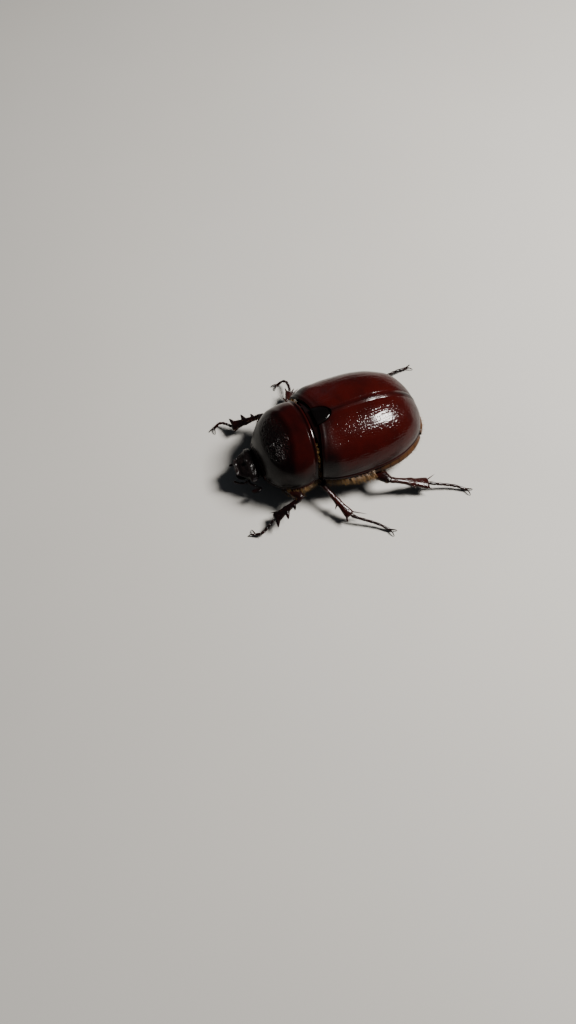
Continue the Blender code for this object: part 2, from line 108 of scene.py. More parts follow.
def case_start(across):
    """Where the wing cases begin: arched forward at the shoulders, set back at the middle."""
    return CASE_SHOULDER + CASE_NOTCH * bell(across - 0.5, NOTCH_SPREAD)


left_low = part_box("elytron_left")[0]
right_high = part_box("elytron_right")[1]
HOME = Vector(((left_low.x + right_high.x) / 2, left_low.y - case_start(1.0) * MM, 0.0))


def edge_height(y):
    return CASE_EDGE - CASE_EDGE_DROP * y / CASE_LENGTH


def case_half_width(y, shrink=0.0):
    share = np.clip(y / (CASE_LENGTH - shrink), 0, 1)
    return (CASE_HALF_WIDTH - shrink) * rise_and_round(share, 0.875, 0.3, 2.75, 2.2)


def case_dome(y, shrink=0.0):
    share = np.clip(y / (CASE_LENGTH - shrink), 0, 1)
    return (CASE_DOME - shrink) * rise_and_round(share, 0.945, 0.41, 2.65, 1.9)


def hind_point(y, across, shrink):
    """The dome of the hind body, shrink inside the wing cases, across 0.5 middle to 1 left."""
    angle = (across - 0.5) * pi
    x = case_half_width(y, shrink) * power(np.sin(angle), CASE_FLATNESS)
    z = edge_height(y) + case_dome(y, shrink) * np.clip(np.cos(angle), 0, 1) ** CASE_ROUNDNESS
    return as_points(x, y, z)


def even_steps(curve, share):
    """Turns even shares into the parameter that walks the curve at even steps."""
    fine = np.linspace(0, 1, 3000)
    steps = np.linalg.norm(np.diff(curve(fine), axis=0), axis=1)
    walked = np.concatenate(([0], np.cumsum(steps)))
    return np.interp(share, walked / walked[-1], fine)


def surface_normals(points):
    """Outward direction at each point of a grid of points, joined across its side seam."""
    down = np.gradient(points, axis=0)
    round_ = np.gradient(points, axis=1)
    if np.allclose(points[:, 0], points[:, -1], atol=1e-6):
        meeting = (points[:, 1] - points[:, -2]) / 2
        round_[:, 0] = round_[:, -1] = meeting
    normal = np.cross(round_, down)
    normal /= np.linalg.norm(normal, axis=-1, keepdims=True) + 1e-12
    return normal


def skin(columns, rows, place):
    """A closed skin: a grid whose points place(around, along) sets, with seam and ends shut."""
    bm = bmesh.new()
    bm.loops.layers.uv.new("Surface")
    bmesh.ops.create_grid(bm, x_segments=columns, y_segments=rows, size=0.5, calc_uvs=True)
    flat = np.array([vert.co[:2] for vert in bm.verts]).reshape(rows + 1, columns + 1, 2) + 0.5
    points = place(flat[..., 0], flat[..., 1])
    for vert, spot in zip(bm.verts, points.reshape(-1, 3)):
        vert.co = spot
    bmesh.ops.remove_doubles(bm, verts=bm.verts, dist=1e-5)
    bmesh.ops.dissolve_degenerate(bm, dist=1e-6, edges=bm.edges)
    rims = [edge for edge in bm.edges if edge.is_boundary]
    bmesh.ops.holes_fill(bm, edges=rims)
    return face_out(bm)


def face_out(bm):
    bmesh.ops.recalc_face_normals(bm, faces=bm.faces)
    if bm.calc_volume(signed=True) < 0:
        bmesh.ops.reverse_faces(bm, faces=bm.faces)
    return bm


def in_scene(name, data):
    thing = bpy.data.objects.new(name, data)
    bpy.context.scene.collection.objects.link(thing)
    return thing


def set_on_frame(name, mesh, material, slot, *nodes):
    """Makes a finished piece of a mesh in millimetres and hangs it on the frame."""
    mesh.transform(Matrix.Translation(HOME) @ Matrix.Diagonal((MM, MM, MM, 1)))
    mesh.name = name
    mesh.materials.clear()
    mesh.materials.append(material)
    mesh.shade_smooth()
    mesh.set_sharp_from_angle(angle=CREASE)
    piece = in_scene(name, mesh)
    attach(piece, "root")
    if nodes:
        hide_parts(*nodes)
    return piece


def as_mesh(*forms):
    """One mesh of several bmeshes."""
    mesh = bpy.data.meshes.new("form")
    whole = bmesh.new()
    for bm in forms:
        bm.to_mesh(mesh)
        bm.free()
        whole.from_mesh(mesh)
    whole.to_mesh(mesh)
    whole.free()
    return mesh


def scatter(a, b, seed):
    """A repeatable number from 0 to 1 for each pair of whole numbers."""
    wave = np.sin(a * 127.1 + b * 311.7 + seed * 74.7) * 43758.5453
    return wave - np.floor(wave)


def pits(a, b, spacing, radius, seed, wander, stretch=1.0, drift=0.5):
    """How deep, 0 to 1, each point lies in a loose lattice of round pits."""
    deepest = np.zeros(np.broadcast(a, b).shape)
    cell_a, cell_b = np.floor(a / spacing[0]), np.floor(b / spacing[1])
    for step_a in (-1, 0, 1):
        for step_b in (-1, 0, 1):
            i, j = cell_a + step_a, cell_b + step_b
            centre_a = (i + 0.5 + wander * drift * (scatter(i, j, seed) - 0.5)) * spacing[0]
            centre_b = (j + 0.5 + wander * (scatter(i, j, seed + 3) - 0.5)) * spacing[1]
            size = radius * (0.7 + 0.5 * scatter(i, j, seed + 7))
            gap = ((a - centre_a) * stretch) ** 2 + (b - centre_b) ** 2
            deepest = np.maximum(deepest, np.clip(1 - gap / size**2, 0, 1))
    return deepest


def swell(points, scale, seed=0.0):
    """Soft noise from -1 to 1 at each point."""
    shape = points.shape[:-1]
    flat = points.reshape(-1, 3) * scale + seed
    return np.array([noise.noise(spot) for spot in flat.tolist()]).reshape(shape)


def shell_grain_group():
    """Shared grain of hard shell: cloudy tone, fine skin texture and wear, in millimetres."""
    group = bpy.data.node_groups.new("shell_grain", "ShaderNodeTree")
    for label, way, kind in (
        ("Deep", "INPUT", "Color"),
        ("Lit", "INPUT", "Color"),
        ("Depth", "INPUT", "Float"),
        ("Cloud Size", "INPUT", "Float"),
        ("Pit Size", "INPUT", "Float"),
        ("Gloss", "INPUT", "Float"),
        ("Color", "OUTPUT", "Color"),
        ("Roughness", "OUTPUT", "Float"),
        ("Height", "OUTPUT", "Float"),
    ):
        group.interface.new_socket(label, in_out=way, socket_type=f"NodeSocket{kind}")
    nodes, links = group.nodes, group.links
    given = nodes.new("NodeGroupInput")
    out = nodes.new("NodeGroupOutput")
    place = nodes.new("ShaderNodeTexCoord")
    size = nodes.new("ShaderNodeVectorMath")
    size.operation = "SCALE"
    size.inputs["Scale"].default_value = 1 / MM
    links.new(place.outputs["Object"], size.inputs[0])

    def cloud(scale, detail):
        node = nodes.new("ShaderNodeTexNoise")
        node.inputs["Detail"].default_value = detail
        node.inputs["Roughness"].default_value = 0.55
        links.new(size.outputs[0], node.inputs["Vector"])
        if isinstance(scale, float):
            node.inputs["Scale"].default_value = scale
        else:
            links.new(scale, node.inputs["Scale"])
        return node.outputs["Fac"]

    def reach(value, low, high, to_low=0.0, to_high=1.0):
        node = nodes.new("ShaderNodeMapRange")
        for socket, number in zip(node.inputs[1:5], (low, high, to_low, to_high)):
            socket.default_value = number
        links.new(value, node.inputs["Value"])
        return node.outputs["Result"]

    def math(operation, first, second):
        node = nodes.new("ShaderNodeMath")
        node.operation = operation
        for socket, value in zip(node.inputs, (first, second)):
            if isinstance(value, (int, float)):
                socket.default_value = value
            else:
                links.new(value, socket)
        return node.outputs[0]

    broad = reach(cloud(given.outputs["Cloud Size"], 3.0), 0.3, 0.7, -0.25, 0.25)
    fine = cloud(9.0, 4.0)
    speck = reach(cloud(26.0, 2.0), 0.35, 0.65)
    tone = nodes.new("ShaderNodeClamp")
    links.new(math("ADD", given.outputs["Depth"], broad), tone.inputs["Value"])
    blend = nodes.new("ShaderNodeMix")
    blend.data_type = "RGBA"
    links.new(tone.outputs[0], blend.inputs["Factor"])
    links.new(given.outputs["Lit"], blend.inputs["A"])
    links.new(given.outputs["Deep"], blend.inputs["B"])
    links.new(blend.outputs["Result"], out.inputs["Color"])
    dull = math("MULTIPLY", reach(fine, 0.3, 0.7), 0.07)
    rough = math("ADD", given.outputs["Gloss"], dull)
    links.new(rough, out.inputs["Roughness"])
    cell = nodes.new("ShaderNodeTexVoronoi")
    cell.feature = "F1"
    links.new(size.outputs[0], cell.inputs["Vector"])
    links.new(given.outputs["Pit Size"], cell.inputs["Scale"])
    pit = reach(cell.outputs["Distance"], 0.0, 0.35)
    height = math("ADD", math("MULTIPLY", pit, 0.5), math("MULTIPLY", fine, 0.5))
    links.new(math("ADD", height, math("MULTIPLY", speck, 0.12)), out.inputs["Height"])
    return group


SHELL_GRAIN = shell_grain_group()


def new_finish(name):
    """A fresh finish, with its nodes, its links and its shader."""
    material = bpy.data.materials.new(name)
    material.use_nodes = True
    nodes = material.node_tree.nodes
    return material, nodes, material.node_tree.links, nodes["Principled BSDF"]


def shell_finish(name, deep, lit, gloss, cloud, pit, bump, depth=None, sheen=SHELL_SHEEN):
    """A chitin finish, from deep to lit colour, the shinier the lower its gloss value. Without a
    depth of its own it follows a piece's marks: darkness deepens its colour, frost roughens it."""
    material, nodes, links, shader = new_finish(name)
    shader.inputs["IOR"].default_value = SHELL_BEND
    shader.inputs["Specular IOR Level"].default_value = sheen
    grain = nodes.new("ShaderNodeGroup")
    grain.node_tree = SHELL_GRAIN
    for label, value in (
        ("Deep", (*deep, 1)),
        ("Lit", (*lit, 1)),
        ("Depth", depth or 0.0),
        ("Cloud Size", cloud),
        ("Pit Size", pit),
        ("Gloss", gloss),
    ):
        grain.inputs[label].default_value = value
    if depth is None:
        marks = {}
        for label in ("darkness", "frost"):
            node = nodes.new("ShaderNodeAttribute")
            node.attribute_name = label
            marks[label] = node.outputs["Fac"]
        dull = nodes.new("ShaderNodeMath")
        dull.operation = "MULTIPLY_ADD"
        dull.inputs[1].default_value = FROST
        dull.inputs[2].default_value = gloss
        links.new(marks["darkness"], grain.inputs["Depth"])
        links.new(marks["frost"], dull.inputs[0])
        links.new(dull.outputs[0], grain.inputs["Gloss"])
    rise = nodes.new("ShaderNodeBump")
    rise.inputs["Strength"].default_value = 0.6
    rise.inputs["Distance"].default_value = bump * MM
    links.new(grain.outputs["Color"], shader.inputs["Base Color"])
    links.new(grain.outputs["Roughness"], shader.inputs["Roughness"])
    links.new(grain.outputs["Height"], rise.inputs["Height"])
    links.new(rise.outputs["Normal"], shader.inputs["Normal"])
    return material


def each_one(parts, field, width=1, kind=float):
    """What a mesh says in a field of each of its vertices, faces or corners."""
    values = np.zeros(len(parts) * width, kind)
    parts.foreach_get(field, values)
    return values.reshape(-1, width) if width > 1 else values


def mark(mesh, name, values):
    layer = mesh.attributes.new(name, "FLOAT", "POINT")
    layer.data.foreach_set("value", values.ravel().astype(np.float32))


def mark_shell(mesh, **rules):
    """Stores marks such as darkness at each point of the mesh, from rules on its points."""
    for name, rule in rules.items():
        mark(mesh, name, rule(each_one(mesh.vertices, "co", 3)))


CASE_COLUMNS = 262
CASE_ROWS = 340
CASE_GIRTH = 13.6  # from the seam over the back to the lower edge, at the widest place
OUTER_SHARE = 0.82  # share of a wing case's section that is its outer face
EDGE_SHARE = 0.04  # share of each of its two edges


def wing_case(side, seed):
    """A thin domed shell, whose outer face carries the strip, the pits, the gutter and the bead."""

    def along(share):
        return np.sin(share * CASE_END * pi / 2)

    def meridian(share):
        y = CASE_SHOULDER + (CASE_LENGTH - CASE_SHOULDER) * along(share)
        return hind_point(y, 0.72, 0.0)

    def section(share):
        return hind_point(9.0, 0.5 + share / 2, 0.0) + 0 * share[:, None]

    def place(around, down):
        walk = even_steps(meridian, down)
        outer = np.clip(around / OUTER_SHARE, 0, 1)
        inner_start, inner_end = OUTER_SHARE + EDGE_SHARE, 1 - EDGE_SHARE
        inner = np.clip((around - inner_start) / (inner_end - inner_start), 0, 1)
        across = 0.5 + even_steps(section, outer) / 2 - inner / 2
        edge = np.clip((around - OUTER_SHARE) / EDGE_SHARE, 0, 1)
        seam = np.clip((around - inner_end) / EDGE_SHARE, 0, 1)
        shrink = CASE_WALL * (edge - seam)
        start = case_start(across)
        y = start + (CASE_LENGTH - shrink - start) * along(walk)
        points = hind_point(y, across, shrink)
        points[..., 2] -= 0.12 * np.sin(edge * pi)
        face = (around <= OUTER_SHARE) * 1.0
        normal = surface_normals(points)
        steps = np.linalg.norm(np.diff(points, axis=1), axis=-1)
        walked = np.concatenate((np.zeros((len(y), 1)), np.cumsum(steps, axis=1)), axis=1)
        girth = walked[:, [int(OUTER_SHARE * CASE_COLUMNS)]]
        from_edge = girth - walked
        lattice = outer * CASE_GIRTH
        tight = girth / CASE_GIRTH
        x = points[..., 0]
        ends = ramp(y - start, 0.2, 1.2) * ramp(CASE_LENGTH - y, 0.05, 0.6)
        clear = ramp(walked, SUTURE_STRIP, SUTURE_STRIP + 0.3) * ramp(from_edge, 0.7, 1.3) * ends
        wavy = 0.30 * swell(points * (1, 0.45, 1), 0.7, seed)
        dots = pits(lattice + wavy, y, PIT_SPACING, PIT_RADIUS, seed, 1.0, tight, 1.0)
        faint = pits(lattice, y, (0.33, 0.37), 0.07, seed + 20, 1.0, tight)
        height = -PIT_DEPTH * dots**0.8 * clear * ramp(tight, 0.25, 0.7)
        height -= 0.007 * faint * clear * ramp(tight, 0.3, 0.7)
        strong = 0.35 + 0.65 * ramp(swell(points, 0.25, seed + 9), -0.3, 0.3)
        height += 0.0045 * strong * np.cos((lattice + wavy) / PIT_SPACING[0] * 2 * pi) * clear
        height += 0.022 * swell(points * (1, 0.4, 1), 1.4, seed + 5) * clear
        height += (0.10 * bell(walked, SUTURE_STRIP * 0.75) - 0.075 * bell(walked, 1.3)) * ends
        height -= 0.04 * bell(walked - SUTURE_STRIP - 0.2, 0.14) * ends
        height -= 0.02 * np.clip(1 - walked / 0.05, 0, 1) ** 2
        height += 0.08 * bell(from_edge - 0.2, 0.16) - 0.13 * bell(from_edge - 0.55, 0.18)
        shoulder = bell(np.hypot((x - SHOULDER_AT[0]) * 0.9, y - SHOULDER_AT[1]), 1.5)
        heel = bell(np.hypot(x - HEEL_AT[0], y - HEEL_AT[1]), 1.5)
        height += 0.28 * shoulder + 0.16 * heel
        height -= 0.22 * bell(y - start, 0.28) + 0.05 * bell(y - start - 0.8, 0.4)
        plate = np.hypot(x / (PLATE_HALF_WIDTH + 0.1), (y - PLATE_START) / (PLATE_LENGTH + 0.1))
        bed = 0.5 * ramp(-plate, -1.0, -0.93)
        height -= bed
        points[..., 2] -= np.clip(bed - shrink, 0, 1) * (seam > 0)
        points = points + normal * (height * face)[..., None]
        points[..., 0] = side * (points[..., 0] + SUTURE_GAP / 2)
        return points

    return as_mesh(skin(CASE_COLUMNS, CASE_ROWS, place))


def case_darkness(points):
    """Red-brown on the back; black at the base, shoulder knobs, hind end and seam strip; darker
    down the flanks as painted shade.
    """
    x, y, z = np.abs(points[:, 0]), points[:, 1], points[:, 2]
    # painted shade: darker down the flanks towards the lower edge
    low = 1 - ramp(z - edge_height(y), 0.2, 3.4)
    base = 1 - ramp(y - 2.1 * bell(x, 3.0), 0.6, 3.0)
    shoulder = bell(np.hypot(x - 8.0, y - 1.7), 1.3)
    tip = ramp(y, 15.5, 20.5)
    strip = bell(x, 0.45)
    dark = 0.16 + 0.4 * low + 0.6 * base + 0.7 * shoulder + 0.4 * tip + 0.4 * strip
    return np.clip(dark, 0, 1)


def case_frost(points):
    """The flanks, the base and the hind end are duller than the back."""
    y, z = points[:, 1], points[:, 2]
    flank = 1 - ramp(z - edge_height(y), 0.8, 4.8)
    return 0.5 * np.maximum(flank, np.maximum(1 - ramp(y, 1.2, 4.2), 0.85 * ramp(y, 15.0, 19.0)))


PLATE_HALF_WIDTH = 1.75
PLATE_START = 0.9
PLATE_LENGTH = 3.15
mahogany = shell_finish(
    "mahogany_shell", MAHOGANY_DEEP, MAHOGANY_LIT, gloss=0.09, cloud=0.35, pit=3.2, bump=0.005
)
for hand, side, seed in (("left", 1, 11.0), ("right", -1, 47.0)):
    case = wing_case(side, seed)
    mark_shell(case, darkness=case_darkness, frost=case_frost)
    set_on_frame(f"wing_case_{hand}", case, mahogany, "mahogany_shell", f"elytron_{hand}")


# ---- Scutellum -----------------------------------------------------------------------------
# The small black plate between the bases of the wing cases, shaped like a rounded half oval. It
# is part of the back's own shell, lies just lower than the wing cases and is smooth and shiny.

PLATE_DEEP = (0.0006, 0.0005, 0.0005)
PLATE_LIT = (0.0015, 0.0010, 0.0010)


def back_height(x, y):
    """Height of the wing cases' outer face above the floor."""
    sine = np.clip(np.abs(x) / case_half_width(y), 0, 1) ** (1 / CASE_FLATNESS)
    return edge_height(y) + case_dome(y) * np.clip(1 - sine**2, 0, 1) ** (CASE_ROUNDNESS / 2)


def scutellum_place(around, down):
    turn = np.abs(2 * around - 1)
    arc = np.clip(turn / 0.7, 0, 1) * pi / 2
    front = 1 - np.clip((turn - 0.7) / 0.3, 0, 1)
    x = (PLATE_HALF_WIDTH - 0.06) * np.sin(arc) * front * np.where(around < 0.5, -1, 1)
    y = PLATE_START + 0.1 + (PLATE_LENGTH - 0.16) * np.cos(arc)
    reach = np.interp(down, [0, 0.78, 0.84, 0.9, 1], [0, 1, 1.0, 0.92, 0])
    x, y = x * reach, PLATE_START + 1.1 + (y - PLATE_START - 1.1) * reach
    rounded = -0.10 * np.clip((reach - 0.86) / 0.14, 0, 1) ** 2
    sink = np.interp(down, [0, 0.78, 0.84, 0.9, 1], [0, 0, -0.3, -0.42, -0.42])
    wear = 0.012 * swell(as_points(x, y, 0 * x), 2.2, 5.0)
    z = back_height(x, y) - 0.10 + 0.10 * (1 - reach**2)
    return as_points(x, y, z + rounded + sink + wear * (down < 0.78))


plate_black = shell_finish(
    "black_shell", PLATE_DEEP, PLATE_LIT, gloss=0.1, cloud=0.8, pit=5.0, bump=0.004, depth=0.6,
    sheen=0.07,
)
plate = as_mesh(skin(150, 90, scutellum_place))
set_on_frame("scutellum_plate", plate, plate_black, "black_shell", "scutellum")


# ---- Shield and chest ----------------------------------------------------------------------
# The prothorax is one ring of chitin: a high smooth shield above, the chest below. The shield is
# edged all round with a fine raised bead. Behind its front edge it has the wide shallow
# wrinkled hollow of a female, and a small pit on each side.

SHIELD_LENGTH = 9.0
SHIELD_HALF_WIDTH = 7.75
SHIELD_DOME = 7.5
SHIELD_EDGE = 6.0
SHIELD_EDGE_DROP = 1.5
CHEST_DEPTH = 2.9
CORNER_PULL = 0.7
HOLLOW_AT = -5.8
HOLLOW_SIZE = (5.4, 2.2)
HOLLOW_DEPTH = 0.40
SIDE_PIT = Vector((6.7, -5.8, 7.6))


def shield_point(share, angle):
    width = SHIELD_HALF_WIDTH * rise_and_round(share * 0.926, 0.94, 0.275, 2.0, 2.0)
    dome = SHIELD_DOME * np.sqrt(1 - (np.clip(share - 0.15, 0, 1) / 0.85 * 0.985) ** 2.2)
    depth = CHEST_DEPTH * (0.85 + 0.15 * np.sin(share * pi) - 0.35 * share**3)
    sine = np.sin(angle)
    up = np.where(sine > 0, dome * np.abs(sine) ** 0.85, depth * sine)
    x = width * power(np.cos(angle), 0.95)
    y = -SEAM - SHIELD_LENGTH * share - CORNER_PULL * np.cos(angle) ** 2 * (1 - share)
    return as_points(x, y, SHIELD_EDGE - SHIELD_EDGE_DROP * share + up)


def hollow_oval(x, y):
    """How far out a place lies from the middle of the hollow, 1 at its rim."""
    return np.hypot(x / HOLLOW_SIZE[0], (y - HOLLOW_AT) / HOLLOW_SIZE[1])


def shield_place(around, down):
    turn = np.interp(around, [0, 0.11, 0.89, 1], [-pi / 2, 0, pi, 3 * pi / 2])

    def meridian(share):
        return shield_point(np.sin(share * pi / 2), 0 * share + 1.2)

    length = np.linalg.norm(np.diff(meridian(np.linspace(0, 1, 400)), axis=0), axis=1).sum()
    run = np.clip((down - 0.03) / 0.93, 0, 1)
    share = np.sin(even_steps(meridian, run) * pi / 2)
    points = shield_point(share, turn)
    normal = surface_normals(points)
    x, y, z = np.moveaxis(points, -1, 0)
    wide = np.abs(x)
    above = (np.sin(turn) > 0) * ((down > 0.03) & (down < 0.96))
    middle_z = SHIELD_EDGE - SHIELD_EDGE_DROP * share
    over_edge = z - middle_z
    from_hind = SHIELD_LENGTH * share
    from_front = (1 - run) * length
    oval = hollow_oval(x, y)
    inside = np.clip(1 - oval**2, 0, 1)
    rough = (1 - ramp(oval, 0.6, 1.0)) * (0.45 + 0.55 * ramp(x, -0.4, 1.4))
    bent = points + 0.4 * swell(points, 1.0, 3.0)[..., None]
    worms = 1 - np.abs(swell(bent * (0.8, 1.25, 1.0), 2.6, 9.0)) * 3.2
    knots = 1 - np.abs(swell(bent, 4.6, 21.0)) * 2.6
    height = -HOLLOW_DEPTH * inside**1.3
    coarse = 1 + 0.5 * ramp(-y, 5.2, 6.8)
    folds = 0.08 * np.clip(worms, -0.6, 1) + 0.11 * np.clip(knots, -0.5, 1)
    height += rough * coarse * folds
    height += 0.10 * bell(oval - 1.18, 0.2) * ramp(y, HOLLOW_AT - 0.6, HOLLOW_AT + 1.4)
    middle = ramp(from_front, 0.5, 1.0) * ramp(from_hind, 0.6, 1.2) * ramp(over_edge, 0.4, 0.9)
    dotted = np.clip(ramp(wide, 4.4, 6.8) + ramp(-y, 6.0, 8.0), 0, 1) * (1 - rough)
    height -= 0.008 * pits(turn * 7.4, y, (0.5, 0.5), 0.12, 31.0, wander=0.9) * dotted * middle
    height -= 0.006 * pits(turn * 7.4, y, (0.42, 0.4), 0.07, 62.0, wander=0.9) * middle
    height += 0.05 * swell(points, 0.5, 40.0) * middle
    for side in (-1, 1):
        spot = np.linalg.norm((points - (side * SIDE_PIT.x, *SIDE_PIT[1:])) * (1, 1, 1.3), axis=-1)
        height -= 0.10 * bell(spot, 0.75)
    height += 0.11 * bell(from_front - 0.12, 0.14) - 0.12 * bell(from_front - 0.5, 0.18)
    height += 0.09 * bell(from_hind - 0.22, 0.17) - 0.07 * bell(from_hind - 0.62, 0.2)
    height += 0.10 * bell(over_edge - 0.1, 0.16) - 0.08 * bell(over_edge - 0.46, 0.18)
    points = points + normal * (height * above)[..., None]
    keys = [0, 0.006, 0.018, 0.03, 0.96, 0.972, 0.985, 1]
    size = np.interp(down, keys, [0, 0.9, 0.955, 1, 1, 0.95, 0.82, 0])
    slide = np.interp(down, keys, [0.12, 0.12, 0.06, 0, 0, 0.05, 0.5, 0.9])
    points[..., 0] *= size
    points[..., 1] += slide
    points[..., 2] = middle_z + (points[..., 2] - middle_z) * size
    return points


def shield_lip(points, side_width, front_width):
    """The raised bead along the shield's sides and its front edge, which is given a painted
    highlight.
    """
    x, y, z = np.moveaxis(points, -1, 0)
    along_side = bell(z - 6.1 - 0.16 * y, side_width) * (np.abs(x) > 2)
    return along_side + bell(y + 9.15, front_width)


def shield_darkness(points):
    """Red-brown behind; painted shade in front, down the sides and chest; a dark band near the hind
    edge; a painted highlight on the bead.
    """
    y, z = points[:, 1], points[:, 2]
    # painted shade: darker over the front slope, down the sides and on the chest
    front = ramp(-y, 2.2, 6.2)
    low = 1 - ramp(z, 6.2, 11.5)
    rim = bell(y + 0.75, 0.25)
    # painted highlight: the raised bead is kept paler than the shell around it
    lip = shield_lip(points, 0.22, 0.16)
    return np.clip(0.5 + 0.42 * front + 0.3 * low + 0.3 * rim - 0.9 * lip, 0, 1)


def shield_frost(points):
    """Frosted in the wrinkled hollow, most of all on its left, and dulled down the sides."""
    x, y, z = np.moveaxis(points, -1, 0)
    hollow = (1 - ramp(hollow_oval(x, y), 0.6, 1.05)) * (0.55 + 0.45 * ramp(x, -0.4, 1.4))
    dull = np.maximum(1 - ramp(z, 7.0, 12.0), ramp(-y, 6.6, 8.6))
    return np.maximum(hollow, np.clip(0.5 * dull - shield_lip(points, 0.25, 0.2), 0, 1))


shield = as_mesh(skin(330, 270, shield_place))
mark_shell(shield, darkness=shield_darkness, frost=shield_frost)
set_on_frame("shield_and_chest", shield, mahogany, "mahogany_shell", "prothorax")


# ---- Head ----------------------------------------------------------------------------------
# A flat wedge of black chitin sunk in the front of the shield and turned a little to the right.
# Its front edge is turned up and drawn into two short teeth. Coarse wrinkles and pits cover its
# top, and a narrow bar of shell runs out over the front of each eye.

NECK = Vector((0.0, -9.1, 4.4))
HEAD_TURN = radians(-7)
HEAD_STATIONS = (  # y, centre height, half width, half depth, back to front
    (0.6, -0.1, 2.3, 1.0),
    (-0.3, 0.0, 2.75, 1.12),
    (-0.95, 0.1, 3.0, 1.2),
    (-1.7, 0.1, 2.95, 1.2),
    (-2.5, 0.0, 2.35, 1.0),
    (-3.2, -0.05, 1.8, 0.72),
    (-3.7, 0.0, 1.5, 0.46),
    (-4.0, 0.12, 1.3, 0.26),
)


def on_head(points):
    """Points given from the neck, set where the turned head is."""
    points = np.asarray(points, float)
    x = points[..., 0] * cos(HEAD_TURN) - points[..., 1] * sin(HEAD_TURN)
    y = points[..., 0] * sin(HEAD_TURN) + points[..., 1] * cos(HEAD_TURN)
    return as_points(x + NECK.x, y + NECK.y, points[..., 2] + NECK.z)


def through(values, share):
    """A smooth curve through evenly spaced values, at shares from 0 to 1."""
    values = np.asarray(values, float)
    last = len(values) - 1
    spot = np.clip(share, 0, 1) * last
    index = np.clip(spot.astype(int), 0, last - 1)
    part = (spot - index).reshape(spot.shape + (1,) * (values.ndim - 1))
    before, start = values[np.maximum(index - 1, 0)], values[index]
    end, after = values[index + 1], values[np.minimum(index + 2, last)]
    bend = 2 * before - 5 * start + 4 * end - after
    return 0.5 * (
        2 * start + (end - before) * part + bend * part**2
        + (3 * start - before - 3 * end + after) * part**3
    )


def head_place(around, down):
    turn = np.interp(around, [0, 0.16, 0.84, 1], [-pi / 2, 0, pi, 3 * pi / 2])
    run = np.clip((down - 0.02) / 0.93, 0, 1)
    y, rise, width, depth = np.moveaxis(through(HEAD_STATIONS, run), -1, 0)
    x = width * power(np.cos(turn), 0.8)
    sine = np.sin(turn)
    flat = np.where(y < -2.2, 0.55, 0.72)
    z = rise + depth * np.where(sine > 0, np.abs(sine) ** flat, sine)
    points = as_points(x, y, z)
    normal = surface_normals(points)
    above = (sine > 0) * ramp(sine, 0.0, 0.25)
    wide = np.abs(x)
    inward = width - wide
    clypeus = ramp(-y, 2.1, 2.7)
    height = 0.15 * bell(inward, 0.16) * clypeus
    height += 0.17 * bell(y + 3.95, 0.17) - 0.10 * bell(y + 3.45, 0.32) * (inward > 0.1)
    height += 0.10 * bell(y + 1.95, 0.2) * bell(x, 1.5)
    height -= 0.14 * bell(y + 2.5, 0.3) * bell(x, 1.1)
    height -= 0.12 * bell(y + 1.1, 0.35) * bell(wide - 1.2, 0.6)
    height -= 0.09 * bell(y + 0.35, 0.22)
    grit = pits(x, y, (0.27, 0.25), 0.12, 8.0, wander=0.9)
    folds = 1 - np.abs(swell(points * (1.0, 1.9, 1.0), 1.9, 30.0)) * 3
    open_top = ramp(-y, 0.2, 0.7) * ramp(inward, 0.05, 0.3)
    height -= 0.022 * grit * open_top
    height += 0.022 * np.clip(folds, -0.5, 1) * open_top
    points = points + normal * (height * above)[..., None]
    bar = bell(y + 1.72, 0.22) * bell(z - 0.12, 0.3) * ramp(wide, 2.0, 2.7)
    points[..., 0] += np.sign(x) * 0.42 * bar
    tooth = bell(wide - 0.78, 0.2) * bell(y + 4.0, 0.26) * (sine > -0.3)
    points[..., 2] += 0.55 * tooth
    points[..., 1] -= 0.12 * tooth
    size = np.interp(down, [0, 0.02, 0.95, 0.965, 0.98, 1], [0, 1, 1, 0.93, 0.7, 0])
    push = np.interp(down, [0, 0.95, 0.965, 1], [0, 0, -0.05, -0.10])
    points[..., 2] = rise + (points[..., 2] - rise) * size
    points[..., 0] *= np.interp(down, [0, 0.02, 0.95, 1], [0, 1, 1, 0.9])
    points[..., 1] += push
    return on_head(points)


BLACK_DEEP = (0.0016, 0.0013, 0.0014)
BLACK_LIT = (0.0050, 0.0030, 0.0028)
black = shell_finish(
    "black_head_shell", BLACK_DEEP, BLACK_LIT, gloss=0.2, cloud=0.9, pit=6.0, bump=0.005, depth=0.5
)
set_on_frame("head_capsule", as_mesh(skin(230, 170, head_place)), black, "black_shell", "head")


# ---- Horn knob and eyes --------------------------------------------------------------------
# A female carries only a low blunt knob where a male has its horn. It grows out of the head's
# shell. The eyes are round, set deep in the sides of the head, and made of fine facets.

EYE_RADIUS = 0.62
EYE_AT = (2.72, -1.25, 0.0)  # the left eye, from the neck
FACET_MIDDLE = (0.016, 0.013, 0.014)
FACET_EDGE = (0.004, 0.003, 0.003)


